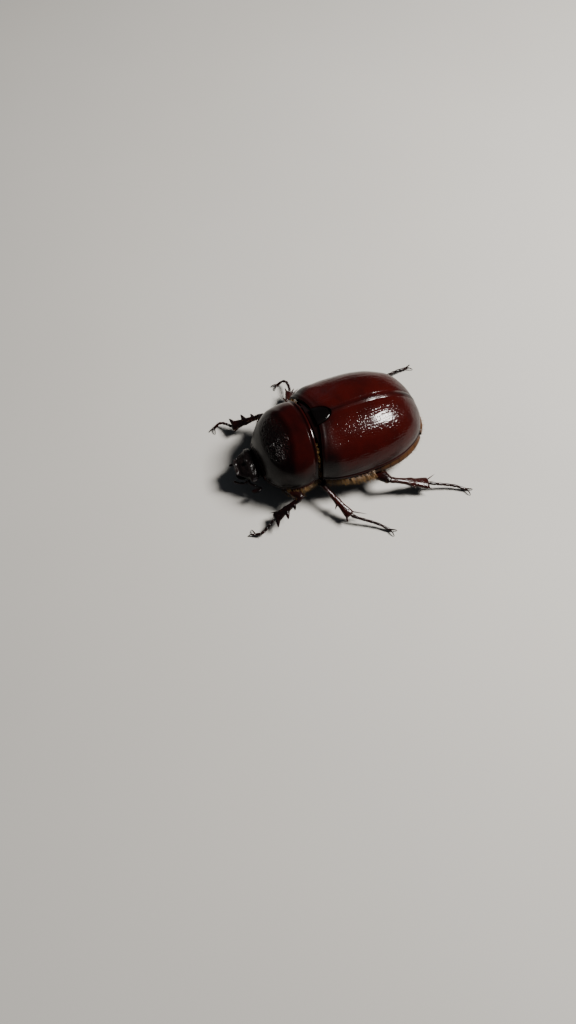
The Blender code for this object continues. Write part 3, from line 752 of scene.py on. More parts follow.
def limb(stations, across, columns, rows, squareness=1.0, detail=None):
    """A rounded limb through (centre, half width, half depth) stations."""
    centres = np.array([list(station[0]) for station in stations], float)
    sizes = np.array([station[1:3] for station in stations], float)
    across = np.array(list(across), float)

    def place(around, down):
        run = 0.5 - 0.5 * np.cos(down * pi) * (1 - 0.35 * np.sin(down * pi))
        line = through(centres, run[:, 0])
        along = np.gradient(line, axis=0)
        along[0], along[-1] = line[1] - line[0], line[-1] - line[-2]
        along /= np.linalg.norm(along, axis=1, keepdims=True) + 1e-12
        side = across - along * (along @ across)[:, None]
        side /= np.linalg.norm(side, axis=1, keepdims=True)
        up = np.cross(along, side)
        width, depth = through(sizes, run[:, 0]).T
        walked = np.concatenate(([0], np.cumsum(np.linalg.norm(np.diff(line, axis=0), axis=1))))
        end_gap = np.minimum(walked, walked[-1] - walked)
        cap = np.maximum(np.minimum(width, depth), 0.03)
        close = np.sqrt(1 - np.clip(1 - end_gap / cap, 0, 1) ** 2)
        turn = around * 2 * pi
        wide = power(np.cos(turn), squareness) * (width * close)[:, None]
        deep = power(np.sin(turn), squareness) * (depth * close)[:, None]
        points = line[:, None] + side[:, None] * wide[..., None] + up[:, None] * deep[..., None]
        if detail:
            normal = surface_normals(points)
            normal *= np.sign((normal * (points - line[:, None])).sum(axis=(1, 2)))[:, None, None]
            rise = detail(points, turn, run) * close[:, None]
            points = points + normal * rise[..., None]
        return points

    return skin(columns, rows, place)


def head_stations(*rows):
    """Stations given from the neck, set on the turned head."""
    return [(on_head(row[:3]), row[3], row[4]) for row in rows]


def grainy(amount, scale):
    return lambda points, turn, run: amount * swell(points, scale)


HORN = head_stations(
    (0, -1.9, 1.0, 0.62, 0.5),
    (0, -1.91, 1.36, 0.44, 0.38),
    (0, -1.93, 1.6, 0.36, 0.32),
    (0, -1.9, 1.93, 0.22, 0.22),
)
knob = limb(HORN, (1, 0, 0), 64, 48, detail=grainy(0.035, 3.5))
set_on_frame("horn_knob", as_mesh(knob), black, "black_shell", "horn")


def two_tones(nodes, first, last):
    """A ramp from one colour to another."""
    node = nodes.new("ShaderNodeValToRGB")
    for element, colour in zip(node.color_ramp.elements, (first, last)):
        element.color = (*colour, 1)
    return node


eye_glass, nodes, links, eye_shader = new_finish("eye_facets")
eye_shader.inputs["Roughness"].default_value = 0.12
eye_shader.inputs["Coat Weight"].default_value = 0.8
facets = nodes.new("ShaderNodeTexVoronoi")
facets.inputs["Scale"].default_value = 16 / MM
facets.inputs["Randomness"].default_value = 0.25
facet_tone = two_tones(nodes, FACET_MIDDLE, FACET_EDGE)
facet_rise = nodes.new("ShaderNodeBump")
facet_rise.inputs["Strength"].default_value = 0.5
facet_rise.inputs["Distance"].default_value = 0.01 * MM
facet_rise.invert = True
links.new(nodes.new("ShaderNodeTexCoord").outputs["Object"], facets.inputs["Vector"])
links.new(facets.outputs["Distance"], facet_tone.inputs["Fac"])
links.new(facet_tone.outputs["Color"], eye_shader.inputs["Base Color"])
links.new(facets.outputs["Distance"], facet_rise.inputs["Height"])
links.new(facet_rise.outputs["Normal"], eye_shader.inputs["Normal"])

for hand, side in (("left", 1), ("right", -1)):
    form = bmesh.new()
    bmesh.ops.create_icosphere(form, subdivisions=5, radius=1)
    size = Matrix.Diagonal((EYE_RADIUS, EYE_RADIUS * 1.02, EYE_RADIUS * 0.95, 1))
    centre = Matrix.Translation(on_head((side * EYE_AT[0], *EYE_AT[1:])))
    bmesh.ops.transform(form, matrix=centre @ size, verts=form.verts)
    set_on_frame(f"{hand}_eye", as_mesh(form), eye_glass, "eye", f"eye_{hand}")


# ---- Mouthparts and feelers ----------------------------------------------------------------
# Two dark curved jaws under the head's front edge, a brown chin plate, a jointed palp on each
# side, and two short feelers: two long joints, six small beads and a closed three-leaf club.
# The right feeler is folded in under the head.

STALK = (  # the left feeler's joints: place from the neck, half sizes, share of the fold
    (2.0, -2.3, -0.5, 0.2, 0.2, 0),
    (2.9, -2.2, -0.95, 0.2, 0.19, 0.25),
    (3.65, -1.3, -1.1, 0.14, 0.14, 1),
    (3.84, -1.02, -1.09, 0.13, 0.13, 1),
    (4.02, -0.76, -1.08, 0.13, 0.13, 1),
    (4.19, -0.53, -1.07, 0.14, 0.14, 1),
    (4.36, -0.42, -1.06, 0.15, 0.15, 1),
    (4.5, -0.5, -1.03, 0.17, 0.17, 1),
    (4.56, -0.68, -1.0, 0.2, 0.2, 1),
)
LEAF = (  # one leaf of the club: x, y, half width, half depth
    (4.54, -0.6, 0.12, 0.09),
    (4.57, -0.85, 0.33, 0.12),
    (4.6, -1.3, 0.4, 0.13),
    (4.6, -1.8, 0.33, 0.12),
    (4.56, -2.2, 0.12, 0.08),
)
FEELER_TUCK = 1.0  # how far in and down the right feeler is folded
FEELER_SINK = 0.6
LEG_DEEP = (0.0022, 0.0010, 0.0010)
LEG_LIT = (0.0145, 0.0021, 0.0014)
leg_shell = shell_finish(
    "leg_shell", LEG_DEEP, LEG_LIT, gloss=0.14, cloud=0.6, pit=3.4, bump=0.02
)


def on_side(side, *rows):
    return head_stations(*[(side * row[0], *row[1:]) for row in rows])


def folded(side, rows):
    """Moves the right feeler's rows in and down, each by its share of the fold."""
    tuck, sink = (FEELER_TUCK, FEELER_SINK) if side < 0 else (0.0, 0.0)
    return [(x - tuck * part, y, z - sink * part, w, d) for x, y, z, w, d, part in rows]


def evenly(share):
    return lambda points: np.full(len(points), share)


def string_of_joints(rows, across, waist=0.62, columns=18, lines=14):
    """Separate swollen joints, one between each pair of rows, that touch at narrow necks."""
    joints = []
    for start, end in zip(rows, rows[1:]):
        a, b = np.array(start[0], float), np.array(end[0], float)
        shape = ((-0.04, waist), (0.25, 0.95), (0.6, 1.08), (0.9, 1.1), (1.02, 0.85))
        stations = [
            (a + (b - a) * share, start[1] * swollen, start[2] * swollen)
            for share, swollen in shape
        ]
        joints.append(limb(stations, across, columns, lines))
    return joints


for hand, side in (("left", 1), ("right", -1)):
    jaw = limb(
        on_side(
            side,
            (1.1, -2.3, -1.25, 0.42, 0.24),
            (1.42, -2.9, -1.1, 0.5, 0.26),
            (1.38, -3.45, -0.98, 0.42, 0.22),
            (1.05, -3.9, -0.86, 0.25, 0.17),
            (0.72, -4.08, -0.78, 0.1, 0.1),
        ),
        (1, 0, 0), 40, 50, detail=grainy(0.03, 4.0),
    )
    set_on_frame(f"{hand}_jaw", as_mesh(jaw), black, "black_shell", f"mandible_{hand}")
    palp_rows = on_side(
        side,
        (1.6, -1.5, -0.8, 0.16, 0.16),
        (1.95, -1.9, -1.5, 0.17, 0.17),
        (2.25, -2.9, -1.75, 0.17, 0.17),
        (2.08, -3.8, -1.72, 0.22, 0.18),
        (1.6, -4.75, -1.5, 0.1, 0.1),
    )
    palp = as_mesh(*string_of_joints(palp_rows, (0.2, 0.1, 1)))
    mark_shell(palp, darkness=evenly(0.6))
    set_on_frame(f"{hand}_palp", palp, leg_shell, "leg_shell", f"palp_{hand}")
    stalk = on_side(side, *folded(side, STALK))
    leaves = [
        limb(
            on_side(side, *folded(side, [(x, y, lift - 1.0, w, d, 1) for x, y, w, d in LEAF])),
            (1, 0, 0.25), 28, 30,
        )
        for lift in (0.17, 0.0, -0.17)
    ]
    feeler = as_mesh(*string_of_joints(stalk, (0.3, 0.2, 1)), *leaves)
    mark_shell(feeler, darkness=evenly(1.0))
    set_on_frame(f"{hand}_feeler", feeler, leg_shell, "leg_shell", f"antenna_{hand}")


# On the belly and tail plate part of the darkening towards TAN_DEEP is painted shade.
TAN_DEEP = (0.0030, 0.0013, 0.0011)
TAN_LIT = (0.030, 0.0130, 0.0050)
tan_shell = shell_finish(
    "tan_shell", TAN_DEEP, TAN_LIT, gloss=0.22, cloud=0.7, pit=4.5, bump=0.006
)


def chin_darkness(points):
    return 0.45 + 0.2 * swell(points, 1.5)


chin = as_mesh(limb(
    head_stations(
        (0, -0.3, -1.74, 1.0, 0.3),
        (0, -0.9, -1.74, 1.35, 0.46),
        (0, -1.6, -1.7, 1.42, 0.48),
        (0, -2.2, -1.6, 1.1, 0.4),
        (0, -2.68, -1.48, 0.5, 0.2),
    ),
    (1, 0, 0), 60, 50, 0.85, grainy(0.04, 3.0),
))
mark_shell(chin, darkness=chin_darkness)
set_on_frame("chin_plate", chin, tan_shell, "tan_shell", "labium")


# ---- Hind body -----------------------------------------------------------------------------
# The thorax that carries the middle and hind legs, and the abdomen of overlapping belly rings,
# all of thinner tan-brown shell. Its soft back lies out of sight under the wing cases.

BELLY_DEPTH = 3.6
BELLY_LENGTH = 21.3
BELLY_SWELL = 0.6
THORAX_END = 8.6
PYGIDIUM_START = 19.4
BELLY_RINGS = (10.6, 12.5, 14.3, 16.1, 17.8)
TRUNK_HEART = 6.0  # height of the points on which the trunk's ends close
HIP_SWELL_AT = (4.5, 6.9)
SHOULDER_ROUND = 0.4  # rounding of the belly's upper edge beside the wing cases
SHOULDER_SLOPE = 0.9  # how steeply that edge falls away where it stands past them


def belly_size(y):
    share = np.clip(y / BELLY_LENGTH, 0, 1)
    swollen = BELLY_SWELL * np.minimum(1, share / 0.5)
    width = (CASE_HALF_WIDTH - 0.2 + swollen) * rise_and_round(share, 0.84, 0.3, 2.9, 2.2)
    return width, BELLY_DEPTH * rise_and_round(share, 0.9, 0.3, 2.6, 2.0)


def trunk_place(y_start, y_end, carve):
    """Domed above to fit inside the wing cases, rounded below, with carve shaping the belly."""

    def place(around, down):
        even = around * 2 * pi - pi / 2
        turn = even - 0.35 * np.sin(2 * even)
        run = np.interp(down, [0, 0.02, 0.98, 1], [0, 0, 1, 1])
        y = y_start + (y_end - y_start) * run
        sine = np.sin(turn)
        under_case = hind_point(y, 1 - np.clip(turn, 0, pi) / pi, CASE_WALL + SEAM)
        width, depth = belly_size(y)
        x = width * power(np.cos(turn), 0.75)
        sunk = -depth * power(sine, 0.8)
        curve = 1 - np.clip(sunk / SHOULDER_ROUND, 0, 1)
        x -= np.sign(x) * SHOULDER_ROUND * (1 - np.sqrt(1 - curve**2)) * (np.abs(x) > 1)
        bared = np.clip(np.abs(x) - case_half_width(y) + 0.1, 0, 1)
        z = edge_height(y) - SEAM - sunk - SHOULDER_SLOPE * bared
        below = as_points(x, y, z)
        points = np.where((sine < 0)[..., None], below, under_case)
        normal = surface_normals(points)
        depth_share = np.clip(-sine * 3, 0, 1)
        points = points + normal * (carve(points) * depth_share)[..., None]
        close = np.interp(down, [0, 0.02, 0.98, 1], [0, 1, 1, 0])[..., None]
        heart = np.array([0.0, 0.0, TRUNK_HEART]) + points * (0, 1, 0)
        return heart + (points - heart) * close

    return place


def thorax_carve(points):
    x, y = points[..., 0], points[..., 1]
    seam = bell(y - 4.9 - 0.12 * np.abs(x), 0.12) + bell(x, 0.1) * ramp(y, 3.0, 4.0)
    pitted = pits(x, y, (0.42, 0.42), 0.13, 81.0, wander=0.9)
    hip = bell(np.hypot(np.abs(x) - HIP_SWELL_AT[0], (y - HIP_SWELL_AT[1]) * 1.4), 2.0)
    return -0.12 * seam - 0.04 * pitted + 0.06 * swell(points, 0.6) + 0.15 * hip


def abdomen_carve(points):
    x, y = points[..., 0], points[..., 1]
    bent = y + 0.02 * x**2 * 0.4
    rise = -0.05 * pits(x, y, (0.36, 0.36), 0.1, 91.0, wander=0.9)
    starts = (THORAX_END, *BELLY_RINGS)
    for start, end in zip(starts, (*BELLY_RINGS, PYGIDIUM_START + 0.4)):
        share = np.clip((bent - start) / (end - start), 0, 1)
        on = (bent >= start) & (bent < end)
        rise = rise + np.where(on, 0.02 + 0.13 * share * ramp(1 - share, 0, 0.12), 0)
    return rise + 0.04 * swell(points, 0.8)


def belly_darkness(points):
    """Tan at the side near the tail; darker in front and at the ring seams; painted shade below and
    under the wing cases.
    """
    y, z = points[:, 1], points[:, 2]
    # painted shade: darker below the flank and up under the wing cases
    low = ramp(edge_height(y) - z, 0.9, 3.4)
    back = ramp(z - edge_height(y), -0.1, 0.25)
    front = 1 - ramp(y, 8.0, 17.0)
    ring = sum(bell(y + 0.008 * points[:, 0] ** 2 - start, 0.14) for start in BELLY_RINGS)
    return np.clip(0.1 + 0.5 * low + 0.4 * ring + 0.8 * back + 0.62 * front, 0, 1)


for name, start, end, carve, rows, finish, slot in (
    ("thorax", 0.2, THORAX_END, thorax_carve, 150, mahogany, "mahogany_shell"),
    ("abdomen", THORAX_END + SEAM, PYGIDIUM_START, abdomen_carve, 190, tan_shell, "tan_shell"),
):
    form = as_mesh(skin(280, rows, trunk_place(start, end, carve)))
    mark_shell(form, darkness=belly_darkness)
    set_on_frame(f"{name}_shell", form, finish, slot, name)


def pygidium_place(around, down):
    turn = around * 2 * pi - pi / 2
    run = np.clip(down / 0.97, 0, 1)
    end = BELLY_LENGTH - 0.02
    y = PYGIDIUM_START + SEAM + (end - PYGIDIUM_START - SEAM) * np.sin(run * pi / 2)
    width, depth = belly_size(y)
    sine = np.sin(turn)
    below = edge_height(CASE_LENGTH) - 2 * SEAM
    droop = 0.5 * (y - PYGIDIUM_START) / (end - PYGIDIUM_START)
    z = below - droop + np.where(sine > 0, 0, depth * sine) + 0.12 * depth * sine
    points = as_points(width * np.cos(turn), y, z)
    normal = surface_normals(points)
    x = points[..., 0]
    height = -0.035 * pits(x, y + z, (0.3, 0.3), 0.09, 17.0, wander=0.9)
    height += 0.06 * bell(y - PYGIDIUM_START - 0.3, 0.2)
    points = points + normal * height[..., None]
    close = np.interp(down, [0, 0.01, 0.97, 1], [0, 1, 1, 0])
    points[..., 0] *= close
    points[..., 2] = below - 0.8 + (points[..., 2] - below + 0.8) * close
    return points


tail_plate = as_mesh(skin(200, 110, pygidium_place))
mark_shell(tail_plate, darkness=belly_darkness)
set_on_frame("tail_plate", tail_plate, tan_shell, "tan_shell", "pygidium")


# ---- Legs ----------------------------------------------------------------------------------
# Six legs of dark red-brown shell: a round hip, a flattened thigh, and a shin that widens to the
# foot. The front shins are black digging blades with three teeth; the others carry thorny ridges
# and two long spurs. Each foot is five thin joints ending in two curved claws.

LEGS = {  # hip, knee and ankle, then the foot's path to its claws
    "front_left": (
        (3.5, -6.6, 3.6), (8.9, -4.6, 4.4), (9.9, -9.9, 1.9),
        (10.4, -10.9, 1.5), (11.0, -12.2, 1.0), (11.25, -13.3, 0.7), (10.75, -13.75, 0.4),
    ),
    "front_right": (
        (-3.5, -6.6, 3.6), (-9.0, -4.8, 4.3), (-10.3, -10.3, 1.9),
        (-11.2, -10.7, 1.5), (-12.3, -11.6, 1.0), (-12.5, -12.6, 0.7), (-12.1, -13.0, 0.4),
    ),
    "middle_left": (
        (2.6, 2.6, 3.0), (7.9, -0.3, 4.2), (14.1, 2.5, 1.9),
        (15.3, 4.2, 1.5), (16.7, 6.3, 1.0), (17.9, 7.6, 0.7), (18.5, 8.1, 0.4),
    ),
    "middle_right": (
        (-2.6, 2.6, 3.0), (-7.4, -1.0, 4.3), (-13.2, 2.2, 1.9),
        (-14.7, 2.7, 1.8), (-16.3, 2.6, 1.5), (-16.9, 1.8, 0.9), (-16.7, 1.1, 0.4),
    ),
    "hind_left": (
        (3.4, 6.8, 3.0), (11.1, 10.7, 4.1), (13.4, 17.8, 1.8),
        (13.9, 19.4, 1.4), (14.7, 21.4, 1.0), (15.7, 23.3, 0.7), (16.3, 23.9, 0.4),
    ),
    "hind_right": (
        (-3.4, 6.8, 3.0), (-10.3, 12.0, 4.3), (-9.9, 19.3, 1.9),
        (-10.4, 20.9, 1.5), (-10.9, 22.8, 1.0), (-11.2, 24.8, 0.7), (-11.2, 25.4, 0.4),
    ),
}
THIGH_HALF_WIDTH = {"front": 1.2, "middle": 1.25, "hind": 1.45}
SHIN_FLARE = {"front": 0.95, "middle": 0.85, "hind": 1.15}
SHIN_DENT = 0.036
FOOT_RADIUS = 0.24
FLOOR_CLEARANCE = 0.01


def fused(forms, voxel, rounds):
    """Grows separate closed forms into one rounded skin."""
    mesh = as_mesh(*forms)
    rough = in_scene("rough", mesh)
    grow = rough.modifiers.new("grow_together", "REMESH")
    grow.mode = "VOXEL"
    grow.voxel_size = voxel
    soften = rough.modifiers.new("soften", "SMOOTH")
    soften.factor = 0.5
    soften.iterations = rounds
    bpy.context.view_layer.update()
    graph = bpy.context.evaluated_depsgraph_get()
    done = bpy.data.meshes.new_from_object(rough.evaluated_get(graph))
    bpy.data.objects.remove(rough)
    return done


def dented(mesh, start, end, radius):
    """Sinks shallow dents in a limb that runs from start to end, but not in its thorns."""
    points = each_one(mesh.vertices, "co", 3)
    normals = each_one(mesh.vertices, "normal", 3)
    axis = np.array(end - start)
    share = np.clip((points - np.array(start)) @ axis / (axis @ axis), 0, 1)
    away = np.linalg.norm(points - np.array(start) - share[:, None] * axis, axis=1)
    dents = ramp(swell(points, 3.4, 61.0), 0.12, 0.5) + 0.6 * swell(points, 1.5, 62.0)
    points -= normals * (SHIN_DENT * dents * (1 - ramp(away, 0.8 * radius, 1.1 * radius)))[:, None]
    mesh.vertices.foreach_set("co", points.ravel())
    mesh.update()
    return mesh


def outward(leg):
    """The direction away from the body, square to the shin."""
    knee, ankle = (Vector(point) for point in LEGS[leg][1:3])
    along = (ankle - knee).normalized()
    side = {
        "middle_left": Vector((0, -1, 0)),
        "middle_right": Vector((0, -1, 0.8)),
    }.get(leg, Vector((1 if "left" in leg else -1, 0, 0)))
    return (side - along * side.dot(along)).normalized()


def thorn(root, tip, radius):
    """A straight thorn that thins from root to tip."""
    middle = (root + tip) / 2
    stations = (
        (root, radius, radius),
        (root.lerp(middle, 0.6), radius * 0.8, radius * 0.8),
        (middle.lerp(tip, 0.35), radius * 0.5, radius * 0.5),
        (tip, radius * 0.14, radius * 0.14),
    )
    return limb(stations, (tip - root).orthogonal(), 12, 14)


def shin(leg):
    knee, ankle = (Vector(point) for point in LEGS[leg][1:3])
    along = (ankle - knee).normalized()
    out = outward(leg)
    face = along.cross(out)
    flare = SHIN_FLARE[leg.split("_")[0]]

    def at(share, side, forward=0.0, deep=0.0):
        return knee.lerp(ankle, share) + out * side + along * forward + face * deep

    shape = (
        (-0.02, 0.42, 0.36), (0.1, 0.5, 0.46), (0.2, 0.44, 0.42), (0.42, 0.56, 0.46),
        (0.56, 0.74, 0.5), (0.64, 0.66, 0.46), (0.84, 0.92, 0.5), (0.95, 1.02, 0.5),
        (1.0, 0.96, 0.34),
    )
    blade = [(knee.lerp(ankle, share), flare * width, depth) for share, width, depth in shape]
    forms = [limb(blade, out, 40, 60, 0.9)]
    if leg.startswith("front"):
        for root, tip, radius in (
            (at(0.90, 0.25), at(0.98, 1.7, 0.35), 0.52),
            (at(0.56, 0.15), at(0.6, 1.7, 0.35), 0.56),
            (at(0.28, 0.1), at(0.31, 1.15, 0.25), 0.44),
            (at(0.7, -0.4), at(1.0, -1.55, 0.2), 0.16),
        ):
            forms.append(thorn(root, tip, radius))
    else:
        for share, high in ((0.56, 1.25), (0.95, 1.2)):
            for step in range(5):
                lean = -0.9 + 0.42 * step
                root = at(share - 0.03, lean * flare * 0.55, 0.0, 0.25)
                tip = at(share + 0.02, lean * flare * 0.9, 0.28, 0.25 + 0.52 * high / 1.25)
                forms.append(thorn(root, tip, 0.16))
        for root, tip, radius in (
            (at(0.55, 0.1), at(0.6, 1.3, 0.3), 0.26),
            (at(0.92, 0.5), at(1.0, 1.2, 0.5), 0.26),
            (at(0.93, -0.2, deep=0.1), at(1.0, -0.2, 0.7, 0.95), 0.24),
            (at(0.92, -0.5), at(1.0, -2.5, 1.9, 0.3), 0.15),
            (at(0.92, -0.3, deep=0.2), at(1.0, -1.3, 1.9, 0.9), 0.14),
        ):
            forms.append(thorn(root, tip, radius))
    return dented(fused(forms, voxel=0.05, rounds=4), knee, ankle, flare)


def thigh(leg):
    hip, knee = (Vector(point) for point in LEGS[leg][:2])
    wide = THIGH_HALF_WIDTH[leg.split("_")[0]]
    shape = (
        (0.0, 0.45, 0.55), (0.12, 0.72, 0.85), (0.3, 0.95, 1.0), (0.5, 1.0, 1.0),
        (0.72, 0.88, 0.95), (0.9, 0.62, 0.8), (1.0, 0.5, 0.66), (1.07, 0.3, 0.4),
    )
    stations = [(hip.lerp(knee, share), wide * w, 0.78 * d) for share, w, d in shape]

    def detail(points, turn, run):
        ridge = bell(np.cos(turn) - 0.9, 0.12) + bell(np.cos(turn) + 0.9, 0.12)
        dots = pits(run * 9.0 + 0 * turn, turn * 1.4, (0.5, 0.5), 0.14, 51.0, wander=0.9)
        return 0.03 * ridge - 0.035 * dots + 0.03 * swell(points, 1.4)

    return as_mesh(limb(stations, (knee - hip).cross(Vector((0, 0, 1))), 90, 120, 0.92, detail))


def foot(leg):
    path = [Vector(point) for point in LEGS[leg][2:]]
    lengths = [(b - a).length for a, b in zip(path, path[1:])]

    def along(share):
        left = share * sum(lengths)
        for start, end, length in zip(path, path[1:], lengths):
            if left <= length + 1e-6:
                return start.lerp(end, left / length)
            left -= length
        return path[-1]

    marks = (0, 0.2, 0.38, 0.56, 0.74, 1.0)
    rows = [(along(mark), FOOT_RADIUS * (1.15 - 0.25 * mark), FOOT_RADIUS) for mark in marks]
    forms = string_of_joints(rows, (0, 0, 1), waist=0.5, columns=16, lines=18)
    for start in marks[1:5]:
        spot = along(start)
        heading = (along(start + 0.02) - spot).normalized()
        side = heading.cross(Vector((0, 0, 1)))
        for spread in (-1, 1):
            root = spot + side * spread * 0.12 - heading * 0.08
            tip = root + side * spread * 0.26 + heading * 0.42 - Vector((0, 0, 0.1))
            forms.append(thorn(root, tip, 0.06))
    end = path[-1]
    heading = path[-1] - path[-2]
    heading.z = 0
    heading.normalize()
    side = heading.cross(Vector((0, 0, 1)))
    for spread in (-1, 1):
        lean = heading + side * spread * 0.55
        claw = (
            (end + side * spread * 0.1 - heading * 0.15, 0.13, 0.13),
            (end + lean * 0.35 + Vector((0, 0, 0.16)), 0.13, 0.13),
            (end + lean * 0.72 + Vector((0, 0, 0.06)), 0.1, 0.1),
            (end + lean * 1.0 + Vector((0, 0, -0.16)), 0.065, 0.065),
            (end + lean * 1.08 + Vector((0, 0, -0.36)), 0.03, 0.03),
        )
        forms.append(limb(claw, (0, 0, 1), 16, 24))
    mesh = as_mesh(*forms)
    for vert in mesh.vertices:
        vert.co.z = max(vert.co.z, FLOOR_CLEARANCE)
    return mesh


PART_DARKNESS = {"hip": 0.7, "thigh": 0.45, "shin": 0.35, "foot": 0.8}
FRONT_SHIN_DARKNESS = 1.0


def leg_darkness(leg, part):
    """Black on the front shins and at every knee and ankle; dark red-brown between them."""
    knee, ankle = (np.array(point) for point in LEGS[leg][1:3])

    def rule(points):
        near_knee = bell(np.linalg.norm(points - knee, axis=1), 1.3)
        near_ankle = bell(np.linalg.norm(points - ankle, axis=1), 1.2)
        front_shin = FRONT_SHIN_DARKNESS * (part == "shin" and leg.startswith("front"))
        start = PART_DARKNESS[part] + front_shin
        return np.clip(start + 0.6 * near_knee + 0.4 * near_ankle, 0, 1)

    return rule


for leg in LEGS:
    hip = Vector(LEGS[leg][0])
    knee = Vector(LEGS[leg][1])
    inward = Vector((-0.5 if "left" in leg else 0.5, 0, 0))
    ball = [
        (hip + inward * 3.0, 0.8, 0.8), (hip + inward * 1.8, 1.1, 1.05),
        (hip + inward * 0.4, 1.15, 1.1), (hip - inward * 1.0, 0.95, 0.95),
        (hip - inward * 2.0, 0.5, 0.5),
    ]
    joint = [
        (hip.lerp(knee, -0.05), 0.5, 0.5), (hip.lerp(knee, 0.1), 0.78, 0.72),
        (hip.lerp(knee, 0.22), 0.5, 0.5),
    ]
    hip_form = as_mesh(
        limb(ball, (0, 1, 0), 60, 60, detail=grainy(0.05, 1.6)),
        limb(joint, (knee - hip).orthogonal(), 40, 40, detail=grainy(0.03, 2.5)),
    )
    for part, form, node in (
        ("hip", hip_form, "coxa"),
        ("thigh", thigh(leg), "femur"),
        ("shin", shin(leg), "tibia"),
        ("foot", foot(leg), "tarsus"),
    ):
        mark_shell(form, darkness=leg_darkness(leg, part))
        set_on_frame(f"{leg}_{part}", form, leg_shell, "leg_shell", f"{node}_{leg}")


# ---- Hair ----------------------------------------------------------------------------------
# Stiff golden hairs stand along the flanks under the wing cases, in the joint behind the shield,
# on the chest, throat, belly rings and tail plate, and along the legs. Each hair is a thin
# three-sided blade rooted in the shell it grows from.

HAIR_WIDTH = 0.035
PATCH = 0.003  # size of one hair's patch on the bake map
HAIR_ROOT = 0.03  # how far below the shell a hair starts
HAIR_TANGLE = 0.16  # how far hairs stray from the way they are swept
# Both hair colours are darker than the hairs' own gold: painted shade, set for the fringes under
# the wing cases and shield.
HAIR_DEEP = (0.035, 0.014, 0.005)
HAIR_LIT = (0.15, 0.088, 0.031)
hair_gold, nodes, links, hair_shader = new_finish("golden_hair")
hair_shader.inputs["Roughness"].default_value = 0.45
hair_shader.inputs["Specular IOR Level"].default_value = 0.25
hair_tone = nodes.new("ShaderNodeAttribute")
hair_tone.attribute_name = "tone"
hair_ramp = two_tones(nodes, HAIR_DEEP, HAIR_LIT)
links.new(hair_tone.outputs["Fac"], hair_ramp.inputs["Fac"])
links.new(hair_ramp.outputs["Color"], hair_shader.inputs["Base Color"])


def one_blade():
    """A blade of unit width and length, as points and faces."""
    bm = bmesh.new()
    bmesh.ops.create_cone(bm, segments=3, radius1=1, radius2=0.12, depth=1, cap_ends=True)
    tall = [edge for edge in bm.edges if abs(edge.verts[0].co.z - edge.verts[1].co.z) > 0.5]
    bmesh.ops.subdivide_edges(bm, edges=tall, cuts=2)
    bmesh.ops.recalc_face_normals(bm, faces=bm.faces)
    points = np.array([vert.co[:] for vert in bm.verts])
    points[:, 2] += 0.5
    faces = [[vert.index for vert in face.verts] for face in bm.faces]
    bm.free()
    return points, faces


BLADE_POINTS, BLADE_FACES = one_blade()


def roots_on(piece, count, seed, wanted):
    """Picks places on a finished piece: points in millimetres, outward directions, map places."""
    mesh = piece.data
    centres = (each_one(mesh.polygons, "center", 3) - np.array(HOME)) / MM
    normals = each_one(mesh.polygons, "normal", 3)
    chance = each_one(mesh.polygons, "area") * wanted(centres, normals)
    rng = np.random.default_rng(seed)
    picked = rng.choice(len(centres), count, p=chance / chance.sum())
    if mesh.uv_layers:
        firsts = each_one(mesh.polygons, "loop_start", kind=int)
        places = each_one(mesh.uv_layers[0].data, "uv", 2)[firsts[picked]]
    else:
        spots = centres[picked]
        low, high = centres.min(0), centres.max(0)
        share = (spots - low) / (high - low)
        around = np.arctan2(share[:, 2] - 0.5, share[:, 0] - 0.5) / (2 * pi) + 0.5
        places = np.stack((around, share[:, 1]), axis=1)
    return centres[picked], normals[picked], places


def hairs(
    name, shell, count, seed, wanted, lie, length, stand=0.5, width=HAIR_WIDTH, droop=0.25, pale=0.2
):
    """A coat piece: count hairs of the given length on a shell, where wanted is high. Stand says
    how upright they leave it, lie the way they sweep, droop how far they sag, pale how light,
    which on some coats is painted light and on others painted shade."""
    roots, normals, places = roots_on(bpy.data.objects[shell], count, seed, wanted)
    rng = np.random.default_rng(seed + 1)
    sweep = np.broadcast_to(np.array(lie(roots), float), roots.shape)
    sweep = sweep / (np.linalg.norm(sweep, axis=1, keepdims=True) + 1e-9)
    heading = normals * stand + sweep * (1 - stand) + rng.normal(0, HAIR_TANGLE, roots.shape)
    heading /= np.linalg.norm(heading, axis=1, keepdims=True)
    side = np.cross(heading, normals + 0.3)
    side /= np.linalg.norm(side, axis=1, keepdims=True)
    up = np.cross(heading, side)
    reach = rng.uniform(*length, count)[:, None, None]
    thin = width * rng.uniform(0.7, 1.2, count)[:, None, None]
    across, deep, far = (BLADE_POINTS[None, :, axis, None] for axis in range(3))
    points = roots[:, None] - normals[:, None] * HAIR_ROOT
    points = points + heading[:, None] * far * reach
    points = points + (sweep[:, None] * 0.5 - (0, 0, 1)) * droop * reach * far**2
    points = points + (side[:, None] * across + up[:, None] * deep) * thin
    points[..., 2] = np.maximum(points[..., 2], FLOOR_CLEARANCE)
    each = len(BLADE_POINTS)
    faces = [[corner + each * n for corner in face] for n in range(count) for face in BLADE_FACES]
    mesh = bpy.data.meshes.new(name)
    mesh.from_pydata(points.reshape(-1, 3).tolist(), [], faces)
    layer = mesh.uv_layers.new(name="OFBake")
    spread = (BLADE_POINTS[:, (0, 2)] * (0.25, 0.5)) * PATCH
    patches = np.clip(places, 0.01, 0.99)[:, None] + spread[None]
    corners = each_one(mesh.loops, "vertex_index", kind=int)
    layer.data.foreach_set("uv", patches.reshape(-1, 2)[corners].ravel())
    tone = pale + 0.55 * BLADE_POINTS[None, :, 2] + rng.uniform(-0.2, 0.35, (count, 1))
    mark(mesh, "tone", np.clip(tone, 0, 1))
    return set_on_frame(name, mesh, hair_gold, "tan_shell")


def outwards_back(points):
    return as_points(np.sign(points[:, 0]), 0.9, -0.5)


def backwards(points):
    return (0, 1, -0.15)
